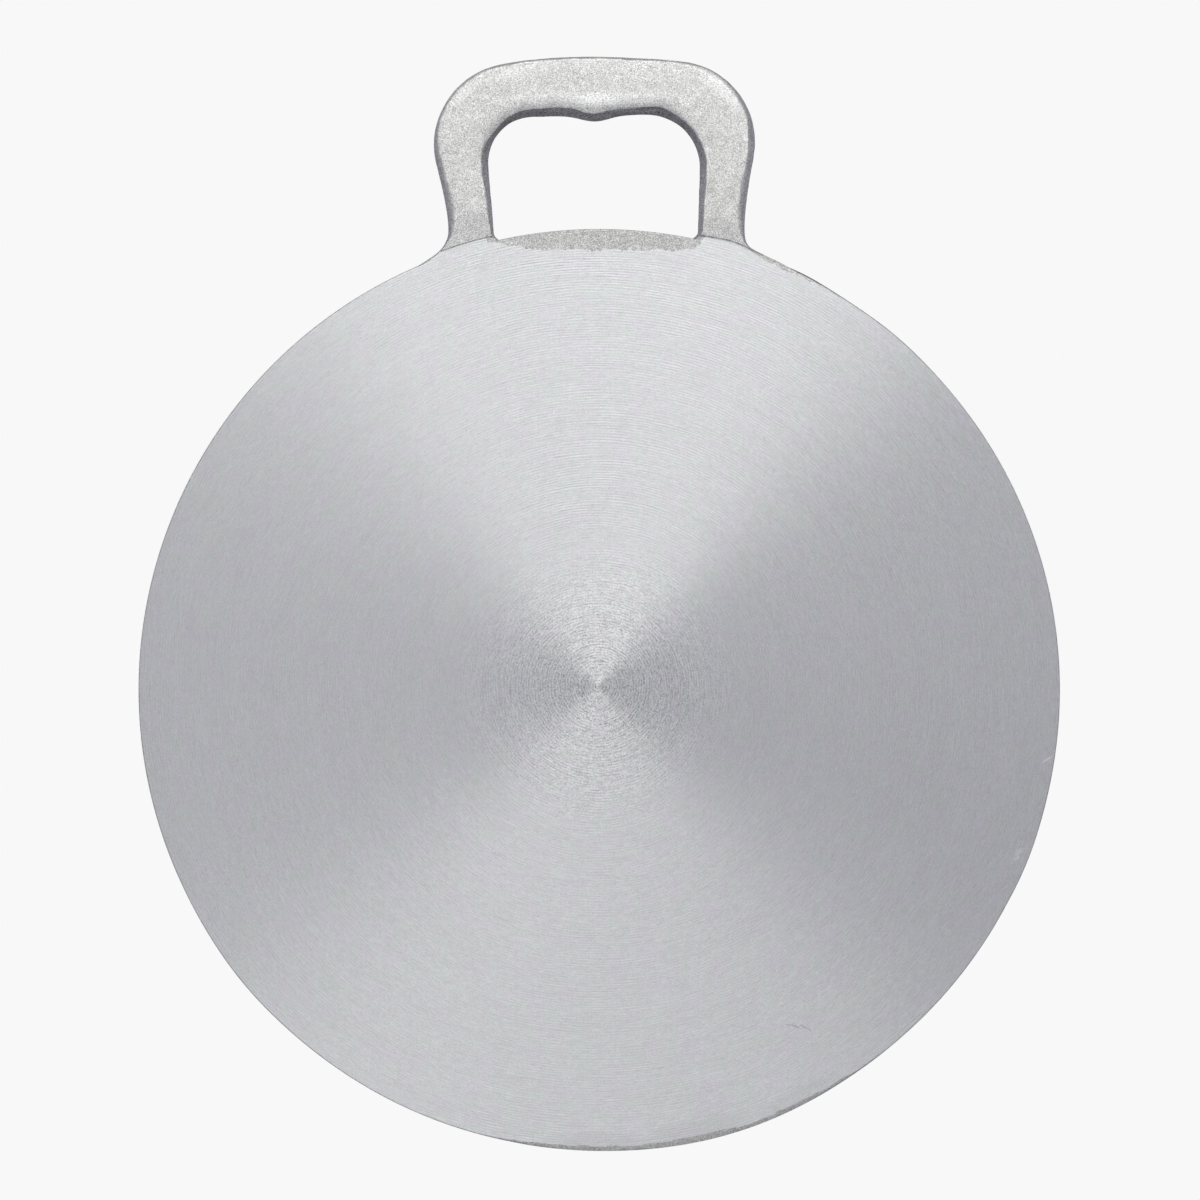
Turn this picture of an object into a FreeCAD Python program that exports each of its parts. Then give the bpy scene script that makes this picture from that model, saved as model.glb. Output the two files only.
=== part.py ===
import FreeCAD, Part
import math
import os

import Sketcher

# Arabic tawa: a round griddle plate of cast aluminium, with a loop handle cast in one with it.
# The frame: origin at the plate's centre on its underside, +Z up, +Y towards the handle. Millimetres.
# The loop's outline is drawn on its parting plane, where it is widest. Its sides slope inwards from
# there to the top and to the bottom, as a casting's do, so that the pattern leaves the sand.

# Driving sizes, each written once. Angles are in degrees.
SIZES = {
    "plate_diameter": 350.0,
    "plate_thickness": 9.0,
    "rim_top_break": 0.4,
    "rim_bottom_round": 1.6,
    "skin_width": 7.5,
    "skin_depth": 0.4,
    "handle_offset": -2.2,
    "handle_reach": 66.1,
    "handle_width": 122.2,
    "crown_radius": 222.0,
    "corner_radius": 33.0,
    "leg_slant": 10.2,
    "outer_root_radius": 15.0,
    "outer_toe": 0.6,
    "window_width": 79.8,
    "window_height": 42.7,
    "window_corner_radius": 17.0,
    "window_side_slant": 3.5,
    "inner_root_radius": 2.0,
    "inner_toe": 0.3,
    "finger_bump_depth": 2.0,
    "finger_bump_radius": 7.5,
    "root_depth": 9.0,
    "handle_top": 10.6,
    "handle_bottom": 0.5,
    "parting_height": 4.0,
    "top_inset": 2.4,
    "under_inset": 1.3,
    "shoulder_round": 1.4,
    "under_round": 1.0,
    "overrun": 3.0,
}

os.makedirs("parts", exist_ok=True)
doc = FreeCAD.newDocument("arabic_tawa")


# The sheet of sizes
def fill_sheet(sizes):
    """Write each size to a cell as text, with the size's name as the cell's alias."""
    page = doc.addObject("Spreadsheet::Sheet", "Sizes")
    for row, (name, value) in enumerate(sizes.items(), start=1):
        page.set(f"A{row}", name)
        page.set(f"B{row}", str(value))
        page.setAlias(f"B{row}", name)
    doc.recompute()
    return page


sheet = fill_sheet(SIZES)


def size(name):
    """One size, as the sheet holds it."""
    return float(sheet.get(name))


# Points and directions on a sketch
def point(x, y):
    return FreeCAD.Vector(x, y, 0)


def direction(degrees):
    """The unit vector at an angle from +X."""
    return point(math.cos(math.radians(degrees)), math.sin(math.radians(degrees)))


def bearing(v):
    """The angle of a vector from +X, in degrees."""
    return math.degrees(math.atan2(v.y, v.x))


def unit(v):
    return v * (1 / v.Length)


def arc(centre, radius, start, turn):
    """Three points of an arc: its start, middle and end. It begins at the angle start and turns by turn."""
    return [centre + direction(start + share * turn) * radius for share in (0.0, 0.5, 1.0)]


# Bodies, sketches and their constraints
def new_body(name):
    body = doc.addObject("PartDesign::Body", name)
    body.Label = name
    return body


def new_sketch(body, name, role, height=None):
    """A sketch on one of the body's own origin planes, raised by an expression if one is given."""
    plane = [feature for feature in body.Origin.OriginFeatures if feature.Role == role][0]
    sketch = body.newObject("Sketcher::SketchObject", name)
    sketch.AttachmentSupport = [(plane, "")]
    sketch.MapMode = "FlatFace"
    if height:
        sketch.setExpression("AttachmentOffset.Base.z", height)
    return sketch


# A sketch numbers a curve's points like this, and its own origin is a point of curve -1
START, END, CENTRE = 1, 2, 3
ORIGIN = (-1, START)
# Two points nearer than this, in millimetres, are the same point
TOUCHING = 1e-5


def place_of(sketch, spot):
    """The point at one spot of a sketch. A spot is a curve's number and which of its points is meant."""
    if spot == ORIGIN:
        return point(0, 0)
    return sketch.getPoint(*spot)


def bind(sketch, kind, terms, value, expression):
    """Add a dimension that holds now, and let the sheet drive it from here on."""
    number = sketch.addConstraint(Sketcher.Constraint(kind, *terms, value))
    sketch.setExpression(f"Constraints[{number}]", expression)


def bind_x(sketch, a, b, expression):
    bind(sketch, "DistanceX", (*a, *b), place_of(sketch, b).x - place_of(sketch, a).x, expression)


def bind_y(sketch, a, b, expression):
    bind(sketch, "DistanceY", (*a, *b), place_of(sketch, b).y - place_of(sketch, a).y, expression)


def bind_distance(sketch, a, b, expression):
    bind(sketch, "Distance", (*a, *b), (place_of(sketch, b) - place_of(sketch, a)).Length, expression)


def bind_radius(sketch, curve, expression):
    bind(sketch, "Radius", (curve,), sketch.Geometry[curve].Radius, expression)


def nearest_end(sketch, curve, target):
    """The spot of a curve's end that lies nearer to a point."""
    return min(((curve, START), (curve, END)), key=lambda spot: (sketch.getPoint(*spot) - target).Length)


def add_loop(sketch, curves, smooth_joins):
    """Add a closed chain of lines (two points) and arcs (three points), and join each to the next.
    A join whose number is in smooth_joins is tangent: join n lies at the end of curve n."""
    first = sketch.GeometryCount
    for points in curves:
        sketch.addGeometry(Part.Arc(*points) if len(points) > 2 else Part.LineSegment(*points))
    for number, points in enumerate(curves):
        here = nearest_end(sketch, first + number, points[-1])
        after = nearest_end(sketch, first + (number + 1) % len(curves), points[-1])
        kind = "Tangent" if number in smooth_joins else "Coincident"
        sketch.addConstraint(Sketcher.Constraint(kind, *here, *after))
    return first


def add_rim_circle(sketch, inset, inset_value):
    """The plate's rim, drawn in by a level's inset, as a construction circle about the origin."""
    radius = size("plate_diameter") / 2 - inset_value
    rim = sketch.addGeometry(Part.Circle(point(0, 0), FreeCAD.Vector(0, 0, 1), radius), True)
    sketch.addConstraint(Sketcher.Constraint("Coincident", rim, CENTRE, *ORIGIN))
    bind_radius(sketch, rim, f"Sizes.plate_diameter / 2 - {inset}")
    return rim


# The plate: a slab turned about the upright axis, with its top edge broken and its bottom edge rounded
plate = new_body("plate")


def plate_profile():
    """Half of the slab's section, from the axis out to the rim and back along the top."""
    radius = size("plate_diameter") / 2
    top = size("plate_thickness")
    bottom_round = size("rim_bottom_round")
    top_break = size("rim_top_break")
    sketch = new_sketch(plate, "PlateProfile", "XZ_Plane")
    corner = point(radius - bottom_round, bottom_round)
    outline = [
        [point(0, 0), point(radius - bottom_round, 0)],
        arc(corner, bottom_round, -90, 90),
        [point(radius, bottom_round), point(radius, top - top_break)],
        [point(radius, top - top_break), point(radius - top_break, top)],
        [point(radius - top_break, top), point(0, top)],
        [point(0, top), point(0, 0)],
    ]
    under, round_edge, rim, broken_edge, face, axis = range(len(outline))
    add_loop(sketch, outline, smooth_joins={under, round_edge})
    sketch.addConstraint(Sketcher.Constraint("Coincident", under, START, *ORIGIN))
    for level in (under, face):
        sketch.addConstraint(Sketcher.Constraint("Horizontal", level))
    for upright in (rim, axis):
        sketch.addConstraint(Sketcher.Constraint("Vertical", upright))
    bind_radius(sketch, round_edge, "Sizes.rim_bottom_round")
    bind_x(sketch, ORIGIN, (rim, START), "Sizes.plate_diameter / 2")
    bind_y(sketch, ORIGIN, (face, START), "Sizes.plate_thickness")
    bind_x(sketch, (broken_edge, END), (broken_edge, START), "Sizes.rim_top_break")
    bind_y(sketch, (broken_edge, START), (broken_edge, END), "Sizes.rim_top_break")
    return sketch


def skin_profile():
    """The wedge above the low edge between the legs, where the tool missed the casting's skin.
    It starts at the turned face and has its stated depth at the rim."""
    radius = size("plate_diameter") / 2
    top = size("plate_thickness")
    width = size("skin_width")
    over = size("overrun")
    fall = size("skin_depth") * (width + over) / width
    sketch = new_sketch(plate, "SkinProfile", "YZ_Plane")
    start = point(radius - width, top)
    outline = [
        [start, point(radius + over, top - fall)],
        [point(radius + over, top - fall), point(radius + over, top + over)],
        [point(radius + over, top + over), point(radius - width, top + over)],
        [point(radius - width, top + over), start],
    ]
    ramp, outside, lid, inside = range(len(outline))
    add_loop(sketch, outline, smooth_joins=set())
    sketch.addConstraint(Sketcher.Constraint("Horizontal", lid))
    for upright in (outside, inside):
        sketch.addConstraint(Sketcher.Constraint("Vertical", upright))
    bind_x(sketch, ORIGIN, (ramp, START), "Sizes.plate_diameter / 2 - Sizes.skin_width")
    bind_y(sketch, ORIGIN, (ramp, START), "Sizes.plate_thickness")
    bind_x(sketch, (ramp, START), (ramp, END), "Sizes.skin_width + Sizes.overrun")
    bind_y(sketch, (ramp, END), (ramp, START),
           "Sizes.skin_depth * (Sizes.skin_width + Sizes.overrun) / Sizes.skin_width")
    bind_y(sketch, (ramp, START), (lid, END), "Sizes.overrun")
    return sketch


profile = plate_profile()
slab = plate.newObject("PartDesign::Revolution", "Slab")
slab.Profile = profile
slab.ReferenceAxis = (profile, ["V_Axis"])
slab.Angle = 360
doc.recompute()

skin = plate.newObject("PartDesign::Pocket", "CastSkin")
skin.Profile = skin_profile()
skin.SideType = "Symmetric"
skin.setExpression("Length", "Sizes.plate_diameter")
doc.recompute()


# The handle: the loop's outline, worked out for each side in turn because the loop stands off centre.
# Every level of the casting has the same outline, drawn in by that level's inset, so all its arcs keep
# their centres: outward curves lose the inset from their radius and inward curves gain it.
def rim_centre(side):
    """The plate's centre in one side's coordinates, where x runs outwards from the loop's centre line."""
    return point(-side * size("handle_offset"), 0)


def root(side, start, slant, away, radius, toe, inset):
    """A straight side from start down towards the rim, the fillet that turns it into the rim, and a line
    into the plate. The fillet's centre lies one radius off the side and one radius off the rim, so it is
    where the side's parallel first comes that near. The fillet stops where it is toe proud of the rim."""
    rim_radius = size("plate_diameter") / 2 - inset
    radius = radius + inset
    down = direction(-90 - slant)
    reach = rim_radius + radius
    offset = start + away * radius - rim_centre(side)
    nearing = offset.dot(down)
    run = -nearing - math.sqrt(nearing ** 2 - offset.dot(offset) + reach ** 2)
    centre = start + away * radius + down * run
    towards_rim = bearing(rim_centre(side) - centre)
    first = bearing(away * -1)
    full_turn = math.remainder(towards_rim - first, 360)
    proud = rim_radius + toe
    cosine = (radius ** 2 + reach ** 2 - proud ** 2) / (2 * radius * reach)
    spared = math.degrees(math.acos(cosine))
    fillet = arc(centre, radius, first, full_turn - math.copysign(spared, full_turn))
    inner_end = fillet[-1] + unit(rim_centre(side) - fillet[-1]) * size("root_depth")
    return [[start, start + down * run], fillet, [fillet[-1], inner_end]]


def outer_side(side, inset):
    """One side of the loop's outer outline: the corner arc, which rolls inside the crown's arc, and the leg."""
    crown, corner = size("crown_radius"), size("corner_radius")
    crown_centre = point(0, size("plate_diameter") / 2 + size("handle_reach") - crown)
    across = size("handle_width") / 2 - corner
    corner_centre = crown_centre + point(across, math.sqrt((crown - corner) ** 2 - across ** 2))
    start = bearing(corner_centre - crown_centre)
    slant = size("leg_slant")
    bend = arc(corner_centre, corner - inset, start, -slant - start)
    leg = root(side, bend[-1], slant, direction(-slant), size("outer_root_radius"), size("outer_toe"), inset)
    return [bend] + leg


def window_side(side, inset):
    """One side of the window: the finger bump's shoulder, the top, the corner, and the leg's inner side.
    The bump's middle arc and its two shoulders have one radius at the parting plane and touch each other."""
    top = size("plate_diameter") / 2 + size("window_height")
    bump, depth = size("finger_bump_radius"), size("finger_bump_depth")
    corner = size("window_corner_radius")
    across = size("window_width") / 2 - corner
    shoulder_x = math.sqrt((2 * bump) ** 2 - (2 * bump - depth) ** 2)
    lean = math.degrees(math.asin(shoulder_x / (2 * bump)))
    shoulder = arc(point(shoulder_x, top - bump), bump + inset, 90 + lean, -lean)
    flat = [shoulder[-1], point(across, top + inset)]
    slant = size("window_side_slant")
    bend = arc(point(across, top - corner), corner + inset, 90, -90 - slant)
    away = direction(180 - slant)
    leg = root(side, bend[-1], slant, away, size("inner_root_radius"), size("inner_toe"), inset)
    return [shoulder, flat, bend] + leg


def whole_outline(half, inset, middle_y):
    """Both sides of an outline, and the arc that joins them at the top through the height middle_y.
    It runs from the left over the top to the right, and home through the plate."""
    shift = size("handle_offset")

    def placed(curves, side):
        return [[point(shift + side * p.x, p.y) for p in curve] for curve in curves]

    right = placed(half(1, inset), 1)
    left = [curve[::-1] for curve in placed(half(-1, inset), -1)][::-1]
    closing = [right[-1][-1], left[0][0]]
    middle_arc = [left[-1][-1], point(shift, middle_y), right[0][0]]
    return [middle_arc] + right + [closing] + left


handle = new_body("handle")


def lower_end(sketch, curve):
    return min(((curve, START), (curve, END)), key=lambda spot: sketch.getPoint(*spot).y)


def bind_root(sketch, rim, fillet, root_line, radius, toe, inset):
    """Hold a fillet against the rim, stop it at its toe, and aim the root line at the plate's centre."""
    bind_radius(sketch, fillet, f"{radius} + {inset}")
    sketch.addConstraint(Sketcher.Constraint("Tangent", fillet, rim))
    outer_end = max(((root_line, START), (root_line, END)), key=lambda spot: sketch.getPoint(*spot).Length)
    bind_distance(sketch, ORIGIN, outer_end, f"Sizes.plate_diameter / 2 + {toe} - {inset}")
    sketch.addConstraint(Sketcher.Constraint("PointOnObject", *ORIGIN, root_line))
    bind_distance(sketch, (root_line, START), (root_line, END), "Sizes.root_depth")


def add_outer_outline(sketch, rim, inset, inset_value):
    middle_y = size("plate_diameter") / 2 + size("handle_reach") - inset_value
    curves = whole_outline(outer_side, inset_value, middle_y)
    first = add_loop(sketch, curves, smooth_joins={0, 1, 2, 7, 8, 9})
    crown, bend_r, _, fillet_r, root_r, _, root_l, fillet_l, _, bend_l = range(first, first + len(curves))
    bind_radius(sketch, crown, f"Sizes.crown_radius - {inset}")
    bind_x(sketch, ORIGIN, (crown, CENTRE), "Sizes.handle_offset")
    bind_y(sketch, ORIGIN, (crown, CENTRE), "Sizes.plate_diameter / 2 + Sizes.handle_reach - Sizes.crown_radius")
    bind_x(sketch, (crown, CENTRE), (bend_r, CENTRE), "Sizes.handle_width / 2 - Sizes.corner_radius")
    bind_x(sketch, (bend_l, CENTRE), (crown, CENTRE), "Sizes.handle_width / 2 - Sizes.corner_radius")
    for bend in (bend_r, bend_l):
        bind_radius(sketch, bend, f"Sizes.corner_radius - {inset}")
        bind_y(sketch, lower_end(sketch, bend), (bend, CENTRE),
               f"(Sizes.corner_radius - {inset}) * sin(Sizes.leg_slant)")
    for fillet, root_line in ((fillet_r, root_r), (fillet_l, root_l)):
        bind_root(sketch, rim, fillet, root_line, "Sizes.outer_root_radius", "Sizes.outer_toe", inset)


def add_window_outline(sketch, rim, inset, inset_value):
    middle_y = size("plate_diameter") / 2 + size("window_height") - size("finger_bump_depth") + inset_value
    curves = whole_outline(window_side, inset_value, middle_y)
    first = add_loop(sketch, curves, smooth_joins={0, 1, 2, 3, 4, 9, 10, 11, 12, 13})
    bump, ease_r, flat_r, bend_r, _, fillet_r, root_r = range(first, first + 7)
    root_l, fillet_l, _, bend_l, flat_l, ease_l = range(first + 8, first + len(curves))
    bind_radius(sketch, bump, f"Sizes.finger_bump_radius - {inset}")
    for ease in (ease_r, ease_l):
        bind_radius(sketch, ease, f"Sizes.finger_bump_radius + {inset}")
    bind_x(sketch, ORIGIN, (bump, CENTRE), "Sizes.handle_offset")
    bind_y(sketch, ORIGIN, (bump, CENTRE),
           "Sizes.plate_diameter / 2 + Sizes.window_height - Sizes.finger_bump_depth + Sizes.finger_bump_radius")
    bind_x(sketch, (bump, CENTRE), (bend_r, CENTRE), "Sizes.window_width / 2 - Sizes.window_corner_radius")
    bind_x(sketch, (bend_l, CENTRE), (bump, CENTRE), "Sizes.window_width / 2 - Sizes.window_corner_radius")
    for flat, bend in ((flat_r, bend_r), (flat_l, bend_l)):
        sketch.addConstraint(Sketcher.Constraint("Horizontal", flat))
        bind_radius(sketch, bend, f"Sizes.window_corner_radius + {inset}")
        bind_y(sketch, ORIGIN, (bend, CENTRE),
               "Sizes.plate_diameter / 2 + Sizes.window_height - Sizes.window_corner_radius")
        bind_y(sketch, lower_end(sketch, bend), (bend, CENTRE),
               f"(Sizes.window_corner_radius + {inset}) * sin(Sizes.window_side_slant)")
    for fillet, root_line in ((fillet_r, root_r), (fillet_l, root_l)):
        bind_root(sketch, rim, fillet, root_line, "Sizes.inner_root_radius", "Sizes.inner_toe", inset)


def level_outline(name, height, inset=None):
    """The loop's outline at one level of the casting, with the window in it."""
    sketch = new_sketch(handle, name, "XY_Plane", f"Sizes.{height}")
    inset_value = size(inset) if inset else 0.0
    inset_text = f"Sizes.{inset}" if inset else "0"
    rim = add_rim_circle(sketch, inset_text, inset_value)
    add_outer_outline(sketch, rim, inset_text, inset_value)
    add_window_outline(sketch, rim, inset_text, inset_value)
    return sketch


under = level_outline("UnderOutline", "handle_bottom", "under_inset")
parting = level_outline("PartingOutline", "parting_height")
upper = level_outline("UpperOutline", "handle_top", "top_inset")
loop = handle.newObject("PartDesign::AdditiveLoft", "Loop")
loop.Profile = under
loop.Sections = [parting, upper]
loop.Ruled = True
doc.recompute()


# The seat: what lies inside the rim belongs to the plate, so the legs end on the rim's own cylinder
def seat_circle():
    sketch = new_sketch(handle, "SeatCircle", "XY_Plane")
    radius = size("plate_diameter") / 2
    circle = sketch.addGeometry(Part.Circle(point(0, 0), FreeCAD.Vector(0, 0, 1), radius))
    sketch.addConstraint(Sketcher.Constraint("Coincident", circle, CENTRE, *ORIGIN))
    bind_radius(sketch, circle, "Sizes.plate_diameter / 2")
    return sketch


seat = handle.newObject("PartDesign::Pocket", "Seat")
seat.Profile = seat_circle()
seat.Type = "ThroughAll"
seat.Reversed = True
doc.recompute()


# The shoulders: the casting's long edges are rounded, at the top for the hand and a little less below
def on_rim(p):
    return abs(math.hypot(p.x, p.y) - size("plate_diameter") / 2) < TOUCHING


def long_edges(shape, height):
    """The names of the edges that lie level at a height, apart from those on the seat."""
    names = []
    for number, edge in enumerate(shape.Edges, start=1):
        middle = edge.valueAt((edge.FirstParameter + edge.LastParameter) / 2)
        along = [vertex.Point for vertex in edge.Vertexes] + [middle]
        level = all(abs(p.z - height) < TOUCHING for p in along)
        if level and not all(on_rim(p) for p in along):
            names.append(f"Edge{number}")
    return names


def round_edges(name, base, height, radius):
    fillet = handle.newObject("PartDesign::Fillet", name)
    fillet.Base = (base, long_edges(base.Shape, size(height)))
    fillet.setExpression("Radius", f"Sizes.{radius}")
    doc.recompute()
    return fillet


shoulders = round_edges("Shoulders", seat, "handle_top", "shoulder_round")
under_edges = round_edges("UnderEdges", shoulders, "handle_bottom", "under_round")


# Checks before anything is written
def check_cut(name, before, after):
    """A cut that points away from the solid shows no error, so its loss is measured."""
    lost = before.Shape.Volume - after.Shape.Volume
    if lost <= 0:
        raise ValueError(f"{name} removed nothing")
    print(f"{name} removed {lost:.1f} mm3")


def check_piece(body):
    """One piece has to be a valid, single solid."""
    shape = body.Shape
    if shape.isNull() or not shape.isValid() or len(shape.Solids) != 1:
        raise ValueError(f"{body.Label} isn't one valid solid")
    print(f"{body.Label}: {shape.Volume / 1000:.2f} cm3, {len(shape.Faces)} faces")


for item in doc.Objects:
    if "Invalid" in item.State or "Error" in item.State:
        raise ValueError(f"{item.Name} failed")
check_cut("the cast skin", slab, skin)
check_cut("the seat", loop, seat)
check_cut("the shoulders", seat, shoulders)
check_cut("the under edges", shoulders, under_edges)
for body in (plate, handle):
    check_piece(body)
    body.Shape.exportStep(f"parts/{body.Label}.step")
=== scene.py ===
# %% [markdown]
# An arabic tawa is a flat griddle for bread. It is one aluminium casting: a round plate with a loop
# handle grown out of its rim. The sand mould leaves a grainy skin on all of it. Then the plate's upper
# face is turned flat on a lathe, and the cutter's fine rings throw the light into bright and dark fans.
#
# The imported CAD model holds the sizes, so it is loaded first and stays where it is. This lesson then
# dresses it with two surfaces, one for the plate and one for the handle, and two finishes, turned metal
# and cast metal.

# %% The fixed frame
import math

import bpy
import numpy as np
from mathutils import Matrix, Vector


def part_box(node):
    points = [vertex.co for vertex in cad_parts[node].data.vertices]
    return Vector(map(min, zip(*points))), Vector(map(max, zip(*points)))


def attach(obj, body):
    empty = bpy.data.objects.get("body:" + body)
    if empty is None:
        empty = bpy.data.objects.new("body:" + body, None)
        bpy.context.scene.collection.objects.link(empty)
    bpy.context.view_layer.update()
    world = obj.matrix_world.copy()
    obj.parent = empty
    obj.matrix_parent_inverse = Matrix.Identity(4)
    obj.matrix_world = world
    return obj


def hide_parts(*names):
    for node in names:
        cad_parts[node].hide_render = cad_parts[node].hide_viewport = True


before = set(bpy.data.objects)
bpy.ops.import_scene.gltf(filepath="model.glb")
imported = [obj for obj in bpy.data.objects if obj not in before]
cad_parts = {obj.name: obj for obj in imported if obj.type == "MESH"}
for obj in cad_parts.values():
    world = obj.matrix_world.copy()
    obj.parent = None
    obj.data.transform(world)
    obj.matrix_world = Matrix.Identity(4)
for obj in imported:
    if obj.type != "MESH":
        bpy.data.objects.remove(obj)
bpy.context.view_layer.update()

print("frame nodes:", sorted(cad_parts))

# %% [markdown]
# Every size that the CAD model knows is read from its boxes, so the looks follow it if it changes.
# The shapes are worked out in millimetres, because that is how a caster thinks of them, and are turned
# into Blender's metres only when a mesh is made.

# %% Sizes from the frame
MM = 0.001
plate_low, plate_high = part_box("plate")
handle_low, handle_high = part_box("handle")
rim_radius = (plate_high.x - plate_low.x) / 2 / MM
face_level = plate_high.z / MM
handle_middle = -2.2
crown_top = handle_high.y / MM
handle_top = handle_high.z / MM
handle_bottom = handle_low.z / MM
turning_centre = np.array([-0.5, 1.3])
parting_level = 4.0
print(f"rim radius {rim_radius:.1f} mm, face {face_level:.1f} mm up, handle top {handle_top:.1f} mm up")

# %% [markdown]
# Three small tools shape everything here. One goes smoothly from nothing to full between two values,
# which makes soft borders. The second is value noise: random numbers on a square lattice with smooth
# ground between them. The third adds up such layers, coarse ones and fine ones. A cast surface is never
# quite true, and this noise bends it a little. The random numbers come from a numbered seed, so each run
# makes the same casting.

# %% Soft borders and uneven ground
LATTICE = 64


def ease(low, high, value):
    """Goes from 0 at low to 1 at high as three times the square less twice the cube of the share."""
    share = np.clip((value - low) / (high - low), 0.0, 1.0)
    return share * share * (3.0 - 2.0 * share)


def lumps(x, y, cell, seed):
    """Value noise from -1 to 1: lattice numbers a cell apart, blended by the eased distance to each."""
    lattice = np.random.default_rng(seed).uniform(-1.0, 1.0, (LATTICE, LATTICE))
    column, row = np.floor(x / cell), np.floor(y / cell)
    across, along = ease(0.0, 1.0, x / cell - column), ease(0.0, 1.0, y / cell - row)
    left, near = column.astype(int) % LATTICE, row.astype(int) % LATTICE
    right, far = (left + 1) % LATTICE, (near + 1) % LATTICE
    near_value = lattice[left, near] * (1.0 - across) + lattice[right, near] * across
    far_value = lattice[left, far] * (1.0 - across) + lattice[right, far] * across
    return near_value * (1.0 - along) + far_value * along


def layered(x, y, layers, first_seed=0):
    """The sum of layers of value noise, each given as its height, its cell and its seed past the first."""
    return sum(height * lumps(x, y, cell, first_seed + seed) for height, cell, seed in layers)


print(f"noise at the middle of the plate: {lumps(*turning_centre, 1.0, 1):.3f}")

# %% [markdown]
# Both pieces are closed skins, so one function makes both. It takes a grid of points whose rows are
# rings, joins neighbouring rings with quads, and closes each end with a fan of triangles to one tip.
# The volume that the skin encloses is printed: it is positive only when the faces point outwards.

# %% A closed skin from a grid of points
CUBIC_CM = 1e-6


def in_scene(name, data):
    """A new object that holds the data, linked into the scene."""
    made = bpy.data.objects.new(name, data)
    bpy.context.scene.collection.objects.link(made)
    return made


def closed_skin(name, grid, first_tip, last_tip):
    """Quads from ring to ring and a fan at each end. Volume: a sixth of the triangles' triple products."""
    rows, columns = grid.shape[:2]
    here = np.arange(columns)
    after = (here + 1) % columns
    ring = np.arange(rows - 1)[:, None] * columns
    quads = np.stack([ring + here, ring + columns + here, ring + columns + after, ring + after], axis=-1)
    first, last = rows * columns, rows * columns + 1
    end = (rows - 1) * columns
    first_fan = np.stack([np.full(columns, first), here, after], axis=-1)
    last_fan = np.stack([np.full(columns, last), end + after, end + here], axis=-1)
    points = np.concatenate([grid.reshape(-1, 3), [first_tip, last_tip]]) * MM
    faces = quads.reshape(-1, 4).tolist() + first_fan.tolist() + last_fan.tolist()
    mesh = bpy.data.meshes.new(name)
    mesh.from_pydata(points.tolist(), [], faces)
    mesh.shade_smooth()
    mesh.calc_loop_triangles()
    corners = np.zeros(len(mesh.loop_triangles) * 3, int)
    mesh.loop_triangles.foreach_get("vertices", corners)
    a, b, c = points[corners.reshape(-1, 3)].transpose(1, 0, 2)
    volume = (np.cross(a, b) * c).sum() / 6
    print(f"{name}: {len(mesh.loop_triangles)} triangles, {volume / CUBIC_CM:.1f} cubic centimetres")
    return in_scene(name, mesh)


# %% [markdown]
# The handle's plan comes first, because the turned face of the plate runs out into the handle's feet.
# The handle is a loop, and its plan is two outlines: the outer one flares out of the rim, leans
# outwards up the leg, turns a broad corner and runs over a shallow crown. The inner one is the window
# for the fingers, with a small bump in the middle of its top edge. The casting is not symmetrical, so
# each side has its own few sizes, in millimetres from the handle's middle line and in degrees. A toe is
# where an outline leaves the rim, the neck is the narrowest place of the leg, and a pull is how far a
# curve runs on in the direction in which it starts or ends. Straight, curved and round stretches are
# joined end to end.

# %% The sizes of the two outlines
SIDES = {
    -1.0: dict(half=60.6, toe=90.0, toe_pull=24.0, neck=55.3, neck_height=175.0, neck_pull=10.5, lean=12.5,
               corner=31.2, crown=222.0, root=38.2, window_lean=3.5, window_half=40.2,
               window_corner=17.5, window_top=218.5),
    1.0: dict(half=61.6, toe=106.0, toe_pull=55.4, neck=57.6, neck_height=176.6, neck_pull=14.4, lean=8.5,
              corner=30.7, crown=295.0, root=40.1, window_lean=1.6, window_half=40.7,
              window_corner=20.2, window_top=219.2),
}
TOE_DEPTH = 0.4
WINDOW_TOE_DEPTH = 0.1
ROOT_ROUND = 3.8
ROOT_PULL_SHARE = 0.45
ROOT_RISE_SHARE = 0.8
WINDOW_MIDDLE = 218.5
BUMP_DEPTH = 1.85
BUMP_MIDDLE = -1.3
BUMP_WIDTHS = {-1.0: 7.8, 1.0: 6.5}
BUMP_ABOVE = 210.0
FLARE_POINTS = 400
LEG_POINTS = 300
CORNER_ROWS = 80
BAR_ROWS = 60
print(f"the loop is {sum(side['half'] for side in SIDES.values()):.1f} mm wide at its corners")


# %% The stretches of an outline
def curve(start, start_pull, end_pull, end, count):
    """A cubic Bezier curve: leaves start towards start_pull and comes into end from end_pull."""
    t = np.linspace(0.0, 1.0, count)[:, None]
    s = 1.0 - t
    return s**3 * start + 3 * s * s * t * start_pull + 3 * s * t * t * end_pull + t**3 * end


def bend(centre, radius, start, end, count):
    """An arc of a circle round centre, from one angle to another in degrees."""
    turn = np.radians(np.linspace(start, end, count))[:, None]
    return centre + radius * np.concatenate([np.cos(turn), np.sin(turn)], axis=1)


def on_rim(across, side, depth):
    """The point of the rim's circle at that distance across from the handle's middle, sunk by depth."""
    x = handle_middle + side * across
    return np.array([across, math.sqrt((rim_radius - depth) ** 2 - x * x)])


def along_rim(point, side):
    """The direction of the rim's circle at a point, uphill towards the handle's middle."""
    x = abs(handle_middle + side * point[0])
    return np.array([-point[1], x]) / math.hypot(x, point[1])


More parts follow.
